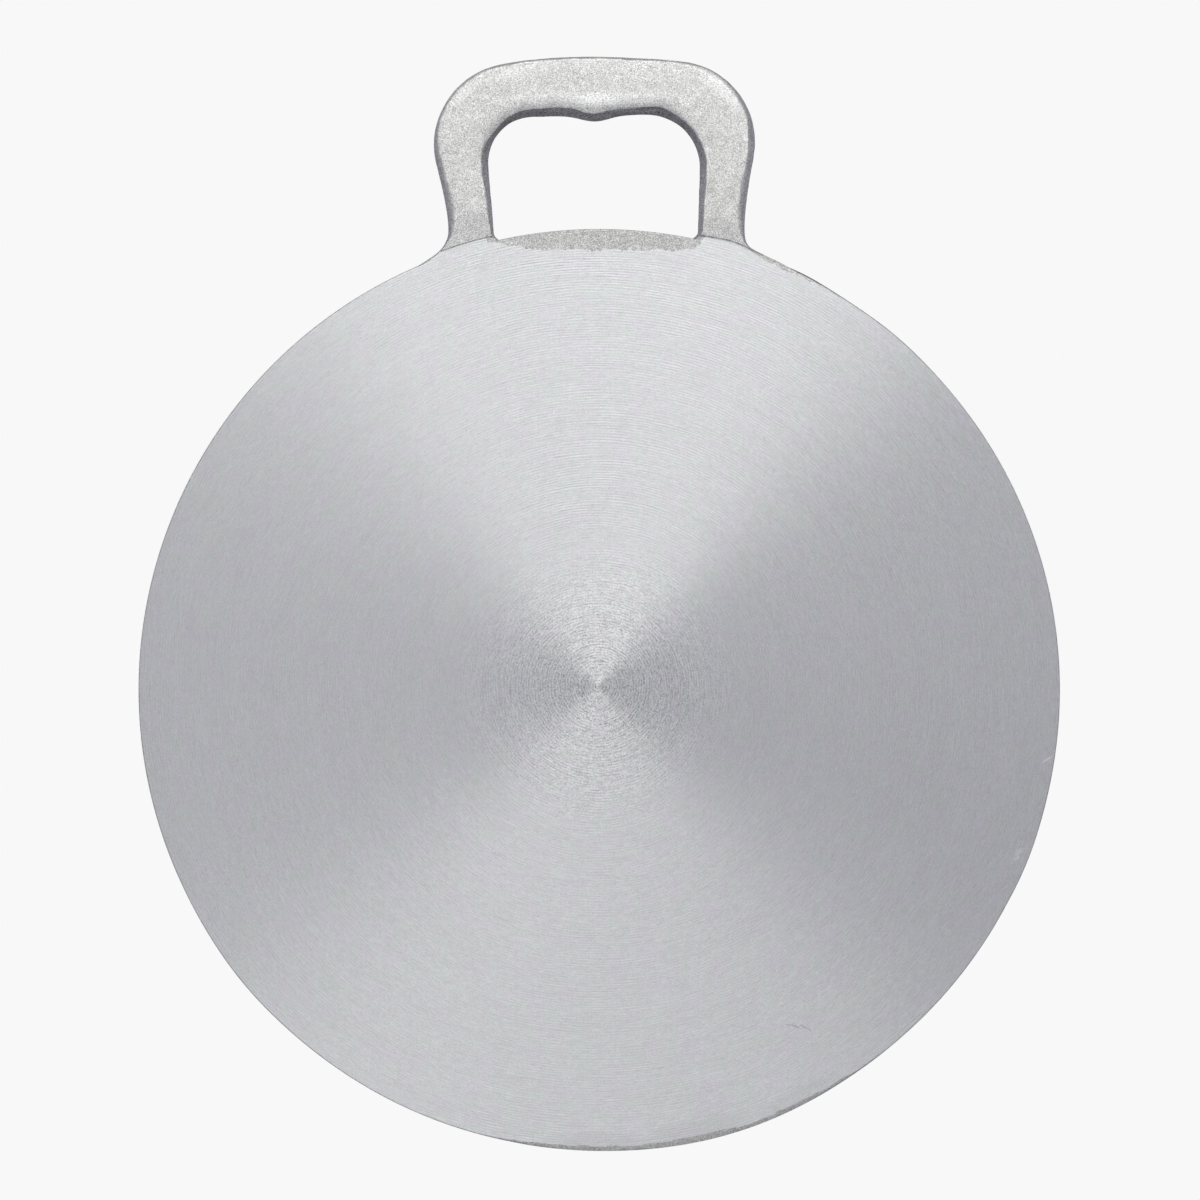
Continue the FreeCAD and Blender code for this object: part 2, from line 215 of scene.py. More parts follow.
def outer_half(side):
    """The outer outline of one side: flare, leg, corner and crown, from the rim to the middle."""
    s = SIDES[side]
    toe = on_rim(s["toe"], side, TOE_DEPTH)
    neck = np.array([s["neck"], s["neck_height"]])
    crown_centre = np.array([0.0, crown_top - s["crown"]])
    across = s["half"] - s["corner"]
    corner_up = math.sqrt((s["crown"] - s["corner"]) ** 2 - across**2)
    corner_centre = crown_centre + np.array([across, corner_up])
    lean = math.radians(s["lean"])
    uphill = np.array([math.sin(lean), math.cos(lean)])
    shoulder = corner_centre + s["corner"] * np.array([math.cos(lean), -math.sin(lean)])
    third = (shoulder[1] - neck[1]) / 3
    join = math.degrees(math.atan2(corner_up, across))
    flare_start = toe + s["toe_pull"] * along_rim(toe, side)
    flare = curve(toe, flare_start, neck - (0.0, s["neck_pull"]), neck, FLARE_POINTS)
    leg = curve(neck, neck + (0.0, third), shoulder - uphill * third, shoulder, LEG_POINTS)
    corner = bend(corner_centre, s["corner"], -s["lean"], join, CORNER_ROWS + 1)
    crown = bend(crown_centre, s["crown"], join, 90.0, BAR_ROWS + 1)
    return np.concatenate([flare, leg[1:]]), corner[1:], crown[1:]


def window_half(side):
    """The inner outline of one side: root round, side, corner and top edge, from the rim to the middle."""
    s = SIDES[side]
    toe = on_rim(s["root"] - ROOT_ROUND, side, WINDOW_TOE_DEPTH)
    lean = math.radians(s["window_lean"])
    uphill = np.array([math.sin(lean), math.cos(lean)])
    centre = np.array([s["window_half"] - s["window_corner"], s["window_top"] - s["window_corner"]])
    shoulder = centre + s["window_corner"] * np.array([math.cos(lean), -math.sin(lean)])
    foot = np.array([s["root"], toe[1] + ROOT_ROUND * ROOT_RISE_SHARE])
    pull = ROOT_ROUND * ROOT_PULL_SHARE
    root = curve(toe, toe - along_rim(toe, side) * pull, foot - uphill * pull, foot, LEG_POINTS)
    third = (shoulder[1] - foot[1]) / 3
    leg = curve(foot, foot + uphill * third, shoulder - uphill * third, shoulder, LEG_POINTS)
    corner = bend(centre, s["window_corner"], -s["window_lean"], 90.0, CORNER_ROWS + 1)
    top = np.linspace(corner[-1], (0.0, WINDOW_MIDDLE), BAR_ROWS + 1)
    return np.concatenate([root, leg[1:]]), corner[1:], top[1:]


for side in SIDES:
    print("outer toe", outer_half(side)[0][0].round(1), "window toe", window_half(side)[0][0].round(1))

# %% [markdown]
# The plate's rim is a circle that the mould and a hand grinder left a little out of true. It could be
# a plain cylinder, but its edge is the longest line in the picture, so the swells and flats are made:
# each is a bell curve, given as its direction and width in degrees and its height in millimetres. In
# front of the two legs the turned face runs on past the rim, out to the edge of the handle's flare, and up
# to the step that the cutter left in the handle. The grid's columns stand closer there.

# %% How far the rim reaches in each direction
RIM_SWELLS = (
    (287.0, 14.0, 0.95),
    (323.0, 7.0, -0.85),
    (246.0, 6.0, -0.75),
    (219.0, 8.0, 0.35),
    (192.0, 8.0, -0.45),
    (176.0, 4.0, -0.35),
    (138.0, 22.0, -0.4),
    (63.5, 5.0, 0.55),
    (50.0, 6.0, 0.3),
    (338.0, 6.0, 0.3),
)
WINDOW_ROOTS = {-1.0: 103.4, 1.0: 77.4}
FOOT_REACH = 2.9
FOOT_EASE = 0.6
FLARE_WALLS = {-1.0: 0.8, 1.0: 1.15}
FLARES_START = 50.0
FLARES_END = 126.0
FLARE_COLUMNS = 540
OPEN_COLUMNS = 380


def bell(degrees, middle, width):
    """1 at the middle direction, falling as exp(-(turn / width) squared) on both sides."""
    turn = (degrees - middle + 180.0) % 360.0 - 180.0
    return np.exp(-((turn / width) ** 2))


def into_foot(degrees, side):
    """How far the face runs into one foot: up to the flare's wall, and no further than the cutter went."""
    across, along = outer_half(side)[0].T
    x = handle_middle + side * across
    direction = np.degrees(np.arctan2(along, x))
    room = np.hypot(x, along) - FLARE_WALLS[side] - rim_radius
    order = np.argsort(direction)
    limit = np.clip(np.interp(degrees, direction[order], room[order]), 0.0, FOOT_REACH)
    past_root = -side * (degrees - WINDOW_ROOTS[side])
    return limit * ease(-FOOT_EASE, FOOT_EASE, past_root)


def rim_reach(degrees):
    """The radius plus each swell or flat times its bell, or plus the run into a foot where that is more."""
    reach = np.full(degrees.shape, rim_radius)
    for middle, width, height in RIM_SWELLS:
        reach += height * bell(degrees, middle, width)
    for side in SIDES:
        reach = np.maximum(reach, rim_radius + into_foot(degrees, side))
    return reach


flare_part = np.linspace(FLARES_START, FLARES_END, FLARE_COLUMNS, endpoint=False)
open_part = np.linspace(FLARES_END, FLARES_START + 360.0, OPEN_COLUMNS, endpoint=False)
degrees = np.concatenate([flare_part, open_part]) % 360.0
reach = rim_reach(degrees)
print(f"the rim reaches from {reach.min():.2f} to {reach.max():.2f} mm")

# %% [markdown]
# The cutter missed some of the casting. Between the legs the casting lies lower, and a crescent of
# grainy skin is left, with a ragged lower border. Along a few stretches of the rim a thin band is left
# too. Both are worked out as a distance in millimetres that is above zero on the skin: the mesh sinks
# there, and later its faces take the cast finish. The crescent's border climbs towards both ends, each
# climb given as where it starts, where it stops and its height. Each wide band has its direction and
# width in degrees, and how much wider it is than the plain one.

# %% Where the casting's own skin is left
CRESCENT_MIDDLE = 0.0
CRESCENT_ENDS = (-42.0, 37.6)
CRESCENT_BORDER = 167.0
CRESCENT_CLIMBS = ((20.0, 44.0, 2.6), (30.0, 42.0, 0.9))
CRESCENT_FRAY = ((0.5, 2.3, 11), (0.5, 0.9, 12), (0.4, 0.45, 13))
FALL_PAST_ENDS = 1.6
RIM_BAND = 0.45
RIM_BANDS = ((66.0, 4.5, 0.9), (296.0, 7.0, 1.2), (282.5, 6.5, 2.0), (269.0, 7.0, 1.6), (262.0, 3.0, 0.5))


def crescent_skin(x, y):
    """How far a point lies above the crescent's border, which is straight, climbs at both ends and frays."""
    away = np.abs(x - CRESCENT_MIDDLE)
    left_climb, right_climb = (height * ease(start, stop, away) for start, stop, height in CRESCENT_CLIMBS)
    border = CRESCENT_BORDER + np.where(x < CRESCENT_MIDDLE, left_climb, right_climb)
    left_end, right_end = CRESCENT_ENDS
    past_end = np.clip(left_end - x, 0.0, None) + np.clip(x - right_end, 0.0, None)
    return y - border + layered(x, y, CRESCENT_FRAY) - FALL_PAST_ENDS * past_end


def rim_band(degrees):
    """The width of the cast edge: a plain break, plus a bell where the casting stood low."""
    width = np.full(degrees.shape, RIM_BAND)
    for middle, spread, extra in RIM_BANDS:
        width += extra * bell(degrees, middle, spread)
    return width


print(f"the cast edge is {rim_band(degrees).min():.2f} to {rim_band(degrees).max():.2f} mm wide")

# %% [markdown]
# The plate is then one grid: its columns are directions and its rows follow the outline of a slice,
# out across the face, over the edge, down the wall, round the lower edge and back to the middle
# underneath. The rings crowd where the face meets the rim, because that is where its shape changes.
# The edge is broken round. Where the band is wide it is worn instead, and drops only a little.

# %% The face of the plate
EDGE_BELT = 14.0
EDGE_ZONE = 1.7
FIRST_RING_SHARE = 0.07
FACE_RINGS = 14
BELT_RINGS = 32
EDGE_RINGS = 13
EDGE_DROP = 0.7
WORN_DROP = 0.25
WORN_BANDS = (0.8, 1.6)
FRAYED_BANDS = (0.6, 1.0)
BAND_FRAY = ((0.45, 1.9, 21), (0.4, 0.8, 24))
CRESCENT_SLOPE = 0.06
CRESCENT_GRAIN = ((0.03, 1.1, 22),)


def on_plate(radius):
    """The two coordinates of rings of points: the radius times the cosine and the sine of each direction."""
    return radius * np.cos(np.radians(degrees)), radius * np.sin(np.radians(degrees))


def face_rings():
    """Radius, height and skin from near the middle out to the rim: the face less the edge's drop."""
    band = rim_band(degrees)
    inner = np.linspace(FIRST_RING_SHARE, 1.0, FACE_RINGS)[:, None] * (reach - EDGE_BELT)
    outer_part = np.linspace(EDGE_BELT, EDGE_ZONE, BELT_RINGS)[1:]
    belt = np.concatenate([outer_part, np.linspace(EDGE_ZONE, 0.0, EDGE_RINGS)[1:]])
    radius = np.concatenate([inner, reach - belt[:, None]])
    x, y = on_plate(radius)
    inset = reach - radius
    crescent = crescent_skin(x, y)
    edge = band + layered(x, y, BAND_FRAY) * ease(*FRAYED_BANDS, band) - inset
    cut_away = np.clip(1.0 - inset / band, 0.0, 1.0)
    round_drop = 1.0 - np.sqrt(1.0 - cut_away**2)
    worn = ease(*WORN_BANDS, band)
    drop = EDGE_DROP * (1.0 - worn) * round_drop + WORN_DROP * worn * cut_away**2
    sink = CRESCENT_SLOPE * np.clip(crescent, 0.0, None) + layered(x, y, CRESCENT_GRAIN) * (crescent > 0.0)
    return radius, face_level - drop - sink, np.maximum(crescent, edge)


face_radius, face_height, face_skin = face_rings()
print(f"the face lies {face_height.min():.2f} to {face_height.max():.2f} mm up")

# %% [markdown]
# The wall of the rim was moulded in two halves of sand, so it bulges between its two edges, most at the
# parting line, where a thin flash of metal stands. It bulges a little more in three directions, each given
# as its direction and width in degrees and its height. The underside is flat but for the sand's unevenness.

# %% The wall, the lower edge and the underside
WALL_BULGE = 0.25
WALL_BULGES = ((65.5, 5.0, 0.5), (53.0, 12.0, 0.25), (235.0, 25.0, 0.18))
FLASH = 0.12
RIM_FLASH_WIDTH = 0.35
LOWER_ROUND = 1.6
UNDER_RISE = 0.05
UNDER_BORDER = 6.0
UNDER_CELL = 9.0
UNDER_SEED = 23
LAST_RING_SHARE = 0.05
WALL_RINGS = 14
ROUND_RINGS = 7
UNDER_RINGS = 16


def flash(height, width):
    """The flash at the parting line: its size times exp(-(distance from the line / width) squared)."""
    return FLASH * np.exp(-(((height - parting_level) / width) ** 2))


def wall_rings(wall_top):
    """Radius and height down the wall. The bulge is one less the square of the share from the line."""
    bulge = WALL_BULGE + sum(height * bell(degrees, middle, width) for middle, width, height in WALL_BULGES)
    down = np.linspace(0.0, 1.0, WALL_RINGS)[1:, None]
    height = wall_top + (LOWER_ROUND - wall_top) * down
    from_parting = (height - parting_level) / (wall_top - parting_level)
    bulging = bulge * np.clip(1.0 - from_parting**2, 0.0, 1.0)
    return reach + bulging + flash(height, RIM_FLASH_WIDTH), height


def under_rings(wall_foot):
    """Radius and height round the lower edge, a quarter of a circle, and back to the middle underneath."""
    turn = np.radians(np.linspace(0.0, 90.0, ROUND_RINGS)[1:, None])
    round_radius = wall_foot - LOWER_ROUND * (1.0 - np.cos(turn))
    round_height = LOWER_ROUND * (1.0 - np.sin(turn)) * np.ones(len(degrees))
    radius = np.linspace(1.0, LAST_RING_SHARE, UNDER_RINGS)[1:, None] * round_radius[-1]
    rise = UNDER_RISE * (1.0 + lumps(*on_plate(radius), UNDER_CELL, UNDER_SEED))
    height = rise * ease(0.0, UNDER_BORDER, round_radius[-1] - radius)
    return np.concatenate([round_radius, radius]), np.concatenate([round_height, height])


wall_radius, wall_height = wall_rings(face_height[-1])
under_radius, under_height = under_rings(wall_radius[-1])
radius = np.concatenate([face_radius, wall_radius, under_radius])
height = np.concatenate([face_height, wall_height, under_height])
skin = np.ones(radius.shape)
skin[: len(face_radius)] = face_skin
plate_grid = np.stack([*on_plate(radius), height], axis=-1)
plate = closed_skin("plate_surface", plate_grid, (0.0, 0.0, face_level), (0.0, 0.0, 0.0))

# %% [markdown]
# A loft needs rows that run across the loop from the outer outline to the window. In the legs the rows
# are arcs round the turning centre, because the cutter left an arc-shaped step there, and a step that
# follows a row stays clean. Up in the corners they are straight lines. So each outline point is found
# by its distance from the turning centre, and the arcs fade out up the leg. The walls change round the
# loop, since the mould was cut by hand: each knot below gives a direction from the loop's middle, how far
# the wall leans in, how wide its shoulder is, and how far the shoulder drops.

# %% The walls round the loop
LOOP_MIDDLE = 195.0
OUTER_WALLS = {
    -1.0: ((-28, 0.8, 1.0, 0.6), (-23, 1.1, 2.0, 0.8), (-14, 1.2, 2.4, 0.9), (-8, 1.1, 2.2, 1.0),
           (0, 1.1, 2.2, 1.0), (8, 0.9, 1.8, 1.0), (16, 0.75, 1.2, 0.8), (26, 0.85, 1.5, 0.8),
           (40, 1.1, 1.6, 0.8), (54, 1.4, 1.2, 0.8), (66, 1.3, 0.8, 0.7), (90, 1.3, 0.9, 0.8)),
    1.0: ((-28, 0.5, 1.0, 0.6), (-23, 0.8, 1.8, 0.8), (-12, 1.8, 1.6, 0.8), (-2, 1.7, 1.5, 0.8),
          (4, 1.5, 1.3, 0.8), (8, 2.1, 0.8, 0.7), (14, 2.4, 0.7, 0.7), (17, 2.0, 0.9, 0.8),
          (20, 1.5, 1.4, 0.9), (28, 1.4, 2.0, 0.9), (38, 1.2, 3.2, 1.0), (46, 1.2, 2.2, 0.9),
          (56, 1.1, 1.2, 0.8), (66, 1.35, 1.0, 0.8), (90, 1.3, 0.9, 0.8)),
}
WINDOW_WALLS = {
    -1.0: ((-28, 1.0, 0.8, 0.4), (-16, 1.2, 0.8, 0.4), (-8, 1.4, 0.8, 0.4), (0, 2.0, 0.6, 0.4),
           (8, 1.9, 1.0, 0.5), (16, 1.6, 1.6, 0.6), (24, 0.75, 3.2, 0.8), (32, 1.0, 3.0, 0.7),
           (40, 1.5, 2.4, 0.5), (48, 1.8, 2.4, 0.5), (56, 2.3, 3.0, 0.6), (64, 2.1, 3.4, 0.6),
           (72, 2.3, 3.4, 0.6), (80, 1.75, 3.4, 0.6), (90, 1.85, 3.4, 0.6)),
    1.0: ((-28, 1.5, 0.6, 0.4), (-20, 1.3, 0.5, 0.4), (-12, 1.7, 0.5, 0.35), (-4, 1.95, 0.5, 0.35),
          (6, 1.95, 0.5, 0.35), (14, 1.7, 0.5, 0.35), (28, 1.45, 1.2, 0.4), (36, 1.7, 1.8, 0.5),
          (44, 2.4, 2.2, 0.5), (50, 1.85, 2.8, 0.5), (58, 1.35, 3.0, 0.5), (68, 1.6, 3.4, 0.6),
          (76, 2.0, 3.4, 0.6), (84, 1.95, 3.4, 0.6), (90, 1.85, 3.4, 0.6)),
}
OUTLINE_WANDER = ((0.16, 13.0, 0), (0.06, 3.1, 1))
WALL_WANDER = ((0.12, 5.0, 2), (0.1, 1.9, 3))


def outline(stretches, side, inward, seed):
    """One half outline in place: its points, the ways into the metal, and the walls' three measures.

    A bell of the bump's depth is taken off the window's top edge. The points wander by a tenth of a
    millimetre or two, as a rammed mould does, and the measures are read between the knots.
    """
    points = np.concatenate(stretches)
    if inward < 0:
        from_bump = side * points[:, 0] + handle_middle - BUMP_MIDDLE
        bump_width = np.where(from_bump < 0.0, BUMP_WIDTHS[-1.0], BUMP_WIDTHS[1.0])
        points[:, 1] -= BUMP_DEPTH * np.exp(-((from_bump / bump_width) ** 2)) * (points[:, 1] > BUMP_ABOVE)
    tangent = np.gradient(points, axis=0)
    tangent /= np.linalg.norm(tangent, axis=1)[:, None]
    normal = inward * np.stack([-tangent[:, 1], tangent[:, 0]], axis=1)
    direction = np.degrees(np.arctan2(points[:, 1] - LOOP_MIDDLE, points[:, 0]))
    points = points * (side, 1.0) + (handle_middle, 0.0)
    normal = normal * (side, 1.0)
    points = points + normal * layered(*points.T, OUTLINE_WANDER, seed)[:, None]
    knots = np.array((OUTER_WALLS if inward > 0 else WINDOW_WALLS)[side]).T
    inset, roll, drop = (np.interp(direction, knots[0], measure) for measure in knots[1:])
    inset = inset + layered(*points.T, WALL_WANDER, seed)
    return (points, normal, inset, roll, drop), len(stretches[0])


print(f"{len(OUTER_WALLS[-1.0])} knots round the left outside, {len(OUTER_WALLS[1.0])} round the right")

# %% [markdown]
# The rows crowd round the cutter's step, and thin out up the leg. Each is a distance from the turning
# centre at which both outlines are read. Past the arcs the outer outline has further to go than the
# window's, so its share of what is left is added to its distances.

# %% Rows across the loop
OUTER_SEED = 31
INNER_SEED = 41
STEP_REACH = 175.8
FIRST_ROW_IN = 0.2
FOOT_END = STEP_REACH - 0.9
STEP_ZONE = (STEP_REACH - 0.8, STEP_REACH + 1.4)
NECK_START = STEP_REACH + 1.6
ARCS_END = 181.0
LEG_START = 181.6
ARCS_GONE = 199.0
FOOT_ROWS = 9
STEP_ROWS = 30
NECK_ROWS = 16
LEG_ROWS = 42


def blend(first, second, share):
    """Part of the way from first to second."""
    return first + (second - first) * share


def pick(values, places):
    """Values at whole and part places along an array, by straight interpolation."""
    floor = np.floor(places).astype(int)
    following = np.minimum(floor + 1, len(values) - 1)
    share = (places - floor).reshape((-1,) + (1,) * (values.ndim - 1))
    return values[floor] * (1 - share) + values[following] * share


def half_rows(side):
    """Points, normals and wall measures of both outlines, and the share of arc, row by row from the rim."""
    outer, outer_leg = outline(outer_half(side), side, 1.0, OUTER_SEED)
    inner, inner_leg = outline(window_half(side), side, -1.0, INNER_SEED)
    reaches = []
    for (points, normal, inset, roll, drop), leg in ((outer, outer_leg), (inner, inner_leg)):
        edge = points + normal * inset[:, None]
        reaches.append(np.maximum.accumulate(np.linalg.norm(edge[:leg] - turning_centre, axis=1)))
    low = max(reaches[0][0], reaches[1][0]) + FIRST_ROW_IN
    top = reaches[1][-1]
    common = np.concatenate([
        np.linspace(low, FOOT_END, FOOT_ROWS),
        np.linspace(*STEP_ZONE, STEP_ROWS),
        np.linspace(NECK_START, ARCS_END, NECK_ROWS),
        np.linspace(LEG_START, top, LEG_ROWS),
    ])
    extra = (reaches[0][-1] - top) * ease(ARCS_END, top, common)
    arc = 1.0 - ease(ARCS_END, ARCS_GONE, common)
    rows = []
    for measures, leg, reach_there, wanted in (
        (outer, outer_leg, reaches[0], common + extra),
        (inner, inner_leg, reaches[1], common),
    ):
        places = np.interp(wanted, reach_there, np.arange(leg))
        places = np.concatenate([places, np.arange(leg, len(measures[0]))])
        rows += [pick(values, places) for values in measures]
    return rows + [np.concatenate([arc, np.zeros(CORNER_ROWS + BAR_ROWS)])]


left_rows = half_rows(-1.0)
right_rows = half_rows(1.0)
rows = [np.concatenate([a, b[-2::-1]]) for a, b in zip(left_rows, right_rows)]
outer, outer_normal, outer_inset, outer_roll, outer_drop = rows[:5]
inner, inner_normal, inner_inset, inner_roll, inner_drop = rows[5:10]
arc = rows[10]
print(f"{len(arc)} rows; the bar is {outer[len(arc) // 2, 1] - inner[len(arc) // 2, 1]:.1f} mm deep")

# %% [markdown]
# A slice of the loop shows how it was moulded. The two halves of the mould meet at the parting line.
# Above and below it the walls lean in, so that the pattern can be drawn out of the sand. The wall ends
# in a crisp line, a shoulder rolls over from there, and the face is a little domed, with a low lip along
# the bar. The window's shoulder is the broader one, where the fingers go.

# %% The walls and the two faces of a slice
DOME = 0.3
LIP = 0.22
LIP_PLACE_SHARE = 0.8
LIP_WIDTH_SHARE = 0.14
LIP_FADE = (205.0, 222.0)
LOOP_FLASH_WIDTH = 0.3
ROLL_CHANGE_SHARE = 0.3
ROLL_CELL = 6.0
OUTER_ROLL_SEED = 51
INNER_ROLL_SEED = 52
FACE_WANDER = ((0.09, 13.0, 53), (0.06, 4.5, 54), (0.03, 1.6, 55))
UNDER_INSET = 1.3
UNDER_LEVEL = handle_bottom + 0.8
UNDER_ROLL = 1.2


def across_rows(start, end, shares):
    """Points between two edges. Where a row is an arc, its points keep their distance to the centre."""
    straight = blend(start[:, None], end[:, None], shares[None, :, None])
    start_reach = np.linalg.norm(start - turning_centre, axis=1)[:, None]
    end_reach = np.linalg.norm(end - turning_centre, axis=1)[:, None]
    wanted = blend(start_reach, end_reach, shares[None, :])
    away = straight - turning_centre
    curved = turning_centre + away * (wanted / np.linalg.norm(away, axis=2))[:, :, None]
    return blend(straight, curved, arc[:, None, None])


def wall(base, normal, inset, top, shares, curl):
    """Points up or down a leaning wall. Its inset grows as the share of the height to the power curl."""
    height = blend(parting_level, top[:, None], shares[None, :])
    step = inset[:, None] * shares**curl - flash(height, LOOP_FLASH_WIDTH)
    place = base[:, None] + normal[:, None] * step[:, :, None]
    return np.concatenate([place, height[..., None]], axis=2)


def rolled(distance, width):
    """A shoulder: 0 at its edge, 1 from its width on, as one less the square of what is left."""
    return 1.0 - np.clip(1.0 - distance / width, 0.0, 1.0) ** 2


def upper_face(shares):
    """The domed face between the two wall edges, with a rolled shoulder on each side."""
    start = outer + outer_normal * outer_inset[:, None]
    end = inner + inner_normal * inner_inset[:, None]
    place = across_rows(start, end, shares)
    width = np.linalg.norm(end - start, axis=1)[:, None]
    x, y = place[..., 0], place[..., 1]
    out_width = outer_roll[:, None] * (1.0 + ROLL_CHANGE_SHARE * lumps(x, y, ROLL_CELL, OUTER_ROLL_SEED))
    in_width = inner_roll[:, None] * (1.0 + ROLL_CHANGE_SHARE * lumps(x, y, ROLL_CELL, INNER_ROLL_SEED))
    out_fall = outer_drop[:, None] * (1.0 - rolled(shares * width, out_width))
    in_fall = inner_drop[:, None] * (1.0 - rolled((1.0 - shares) * width, in_width))
    lip = LIP * np.exp(-(((shares - LIP_PLACE_SHARE) / LIP_WIDTH_SHARE) ** 2)) * ease(*LIP_FADE, y)
    height = handle_top - DOME * (2.0 * shares - 1.0) ** 2 - out_fall - in_fall + lip
    height = height + layered(x, y, FACE_WANDER)
    return np.concatenate([place, height[..., None]], axis=2)


def lower_face(shares):
    """The underside between the two lower edges, flat with rolled corners."""
    inset = np.full(len(arc), UNDER_INSET)
    start = inner + inner_normal * inset[:, None]
    end = outer + outer_normal * inset[:, None]
    place = across_rows(start, end, shares)
    width = np.linalg.norm(end - start, axis=1)[:, None]
    shoulders = rolled(shares * width, UNDER_ROLL) * rolled((1.0 - shares) * width, UNDER_ROLL)
    height = UNDER_LEVEL + (handle_bottom - UNDER_LEVEL) * shoulders
    return np.concatenate([place, height[..., None]], axis=2)


print(f"the handle's underside is {handle_bottom:.1f} mm up, and its lower walls end {UNDER_LEVEL:.1f} mm up")

# %% [markdown]
# All slices go round the same way: up the outer wall, over the face, down the inner wall and on down to
# its lower edge, back under the bar, and up to the parting line. The points crowd at the foot and the top
# of each wall. They crowd at both edges of the face too, since each even share is mixed with half a wave.

# %% All slices of the loop
OUTER_CURL = 1.5
INNER_CURL = 1.1
STRAIGHT_CURL = 1.0
WALL_SHARES = np.array([0.0, 0.03, 0.06, 0.12, 0.25, 0.42, 0.6, 0.78, 0.91, 0.98])
LOW_WALL_SHARES = np.array([0.06, 0.14, 0.3, 0.5, 0.7, 0.88])
EVEN_SHARE = 0.5
FACE_POINTS = 40
UNDER_POINTS = 18


def handle_grid():
    """All slices: outer wall up, face, inner wall down, lower wall, underside and the way back up."""
    even = np.linspace(0.0, 1.0, FACE_POINTS)
    face_shares = EVEN_SHARE * even + (1.0 - EVEN_SHARE) * (1.0 - np.cos(math.pi * even)) / 2
    outer_top = handle_top - DOME - outer_drop
    inner_top = handle_top - DOME - inner_drop
    under = np.full(len(arc), UNDER_INSET)
    under_top = np.full(len(arc), UNDER_LEVEL)
    parts = [
        wall(outer, outer_normal, outer_inset, outer_top, WALL_SHARES, OUTER_CURL),
        upper_face(face_shares),
        wall(inner, inner_normal, inner_inset, inner_top, WALL_SHARES[::-1], INNER_CURL),
        wall(inner, inner_normal, under, under_top, LOW_WALL_SHARES, STRAIGHT_CURL),
        lower_face(np.linspace(0.0, 1.0, UNDER_POINTS)),
        wall(outer, outer_normal, under, under_top, LOW_WALL_SHARES[::-1], STRAIGHT_CURL),
    ]
    return np.concatenate(parts, axis=1)


loop_grid = handle_grid()[:, ::-1]
print("the handle's grid has", loop_grid.shape[0], "slices of", loop_grid.shape[1], "points")


# %% [markdown]
# Last, the cutter's step: it passed over the feet of the legs as it faced the plate, so nothing of the
# handle stands higher than the turned face inside its reach. Just outside it the metal rises in a steep
# step to a ledge, higher on the right leg than on the left, and slopes on from there. In one direction
# the step starts a little further out. The first and last rows then lie hidden inside the plate, where
# each end of the skin is closed.

# %% The step and the finished handle
TUCK = 0.35
STEP_START = STEP_REACH - 0.55
STEP_RISES = (2.2, 2.5)
STEP_HEIGHTS = (0.8, 1.1)
STEP_SLOPE = 0.1
STEP_SWELL = (73.5, 2.4, 0.8)

loop_reach = np.linalg.norm(loop_grid[..., :2] - turning_centre, axis=2)
loop_degrees = np.degrees(np.arctan2(loop_grid[..., 1], loop_grid[..., 0]))
swell_middle, swell_width, swell_height = STEP_SWELL
start = STEP_START + swell_height * bell(loop_degrees, swell_middle, swell_width)
on_left = loop_grid[..., 0] < handle_middle
past_start = np.clip(loop_reach - start, 0.0, None)
rise = np.where(on_left, *STEP_RISES) * past_start
ledge = np.where(on_left, *STEP_HEIGHTS) + STEP_SLOPE * past_start
allowed = face_level - TUCK + np.minimum(rise, ledge)
loop_grid[..., 2] = np.minimum(loop_grid[..., 2], allowed)
handle = closed_skin("handle_surface", loop_grid, loop_grid[0].mean(axis=0), loop_grid[-1].mean(axis=0))

# %% [markdown]
# The finishes are built from nodes. A few helpers keep that readable: one adds a node and fills its
# inputs with numbers or with wires, and the others do sums with numbers and with vectors.

# %% Helpers for single nodes
def add_node(tree, kind, inputs=(), **settings):
    """A node with its settings made, and each named or numbered input given a value or a wire."""
    made = tree.nodes.new(kind)
    for name, value in settings.items():
        setattr(made, name, value)
    for name, value in dict(inputs).items():
        if isinstance(value, bpy.types.NodeSocket):
            tree.links.new(value, made.inputs[name])
        else:
            made.inputs[name].default_value = value
    return made


def sum_of(tree, operation, first, second=0.0, third=0.0):
    """One step of arithmetic on numbers or wires."""
    return add_node(tree, "ShaderNodeMath", {0: first, 1: second, 2: third}, operation=operation).outputs[0]


def vector_of(tree, operation, first, second=(0.0, 0.0, 0.0)):
    """One step of arithmetic on vectors."""
    made = add_node(tree, "ShaderNodeVectorMath", {0: first, 1: second}, operation=operation)
    return made.outputs["Value"] if operation in ("LENGTH", "DISTANCE") else made.outputs["Vector"]


def scaled(tree, vector, factor):
    """A vector times a number."""
    return add_node(tree, "ShaderNodeVectorMath", {0: vector, "Scale": factor}, operation="SCALE").outputs[0]


def product(tree, first, second):
    """One number times another."""
    return sum_of(tree, "MULTIPLY", first, second)


# %% [markdown]
# A mask says where an effect shows: 1 where it is full, 0 where there is none, with a soft border between.
# Most masks here are a place or a slope carried from one range to another, so each way of doing that has
# its own small helper. Another starts a node group with named sockets.

# %% Helpers for masks, noise and groups
def remapped(tree, value, low, high, new_low, new_high):
    """A value carried from one range to another and held at its ends."""
    inputs = {"Value": value, "From Min": low, "From Max": high, "To Min": new_low, "To Max": new_high}
    return add_node(tree, "ShaderNodeMapRange", inputs).outputs["Result"]


def rising(tree, value, border):
    """A mask that goes from 0 to 1 across a border, given as its two ends."""
    return remapped(tree, value, *border, 0.0, 1.0)


def falling(tree, value, border):
    """A mask that goes from 1 to 0 across a border, given as its two ends."""
    return remapped(tree, value, *border, 1.0, 0.0)


def signed(tree, value, span=(0.0, 1.0)):
    """A value carried from a span to the range from -1 to 1."""
    return remapped(tree, value, *span, -1.0, 1.0)


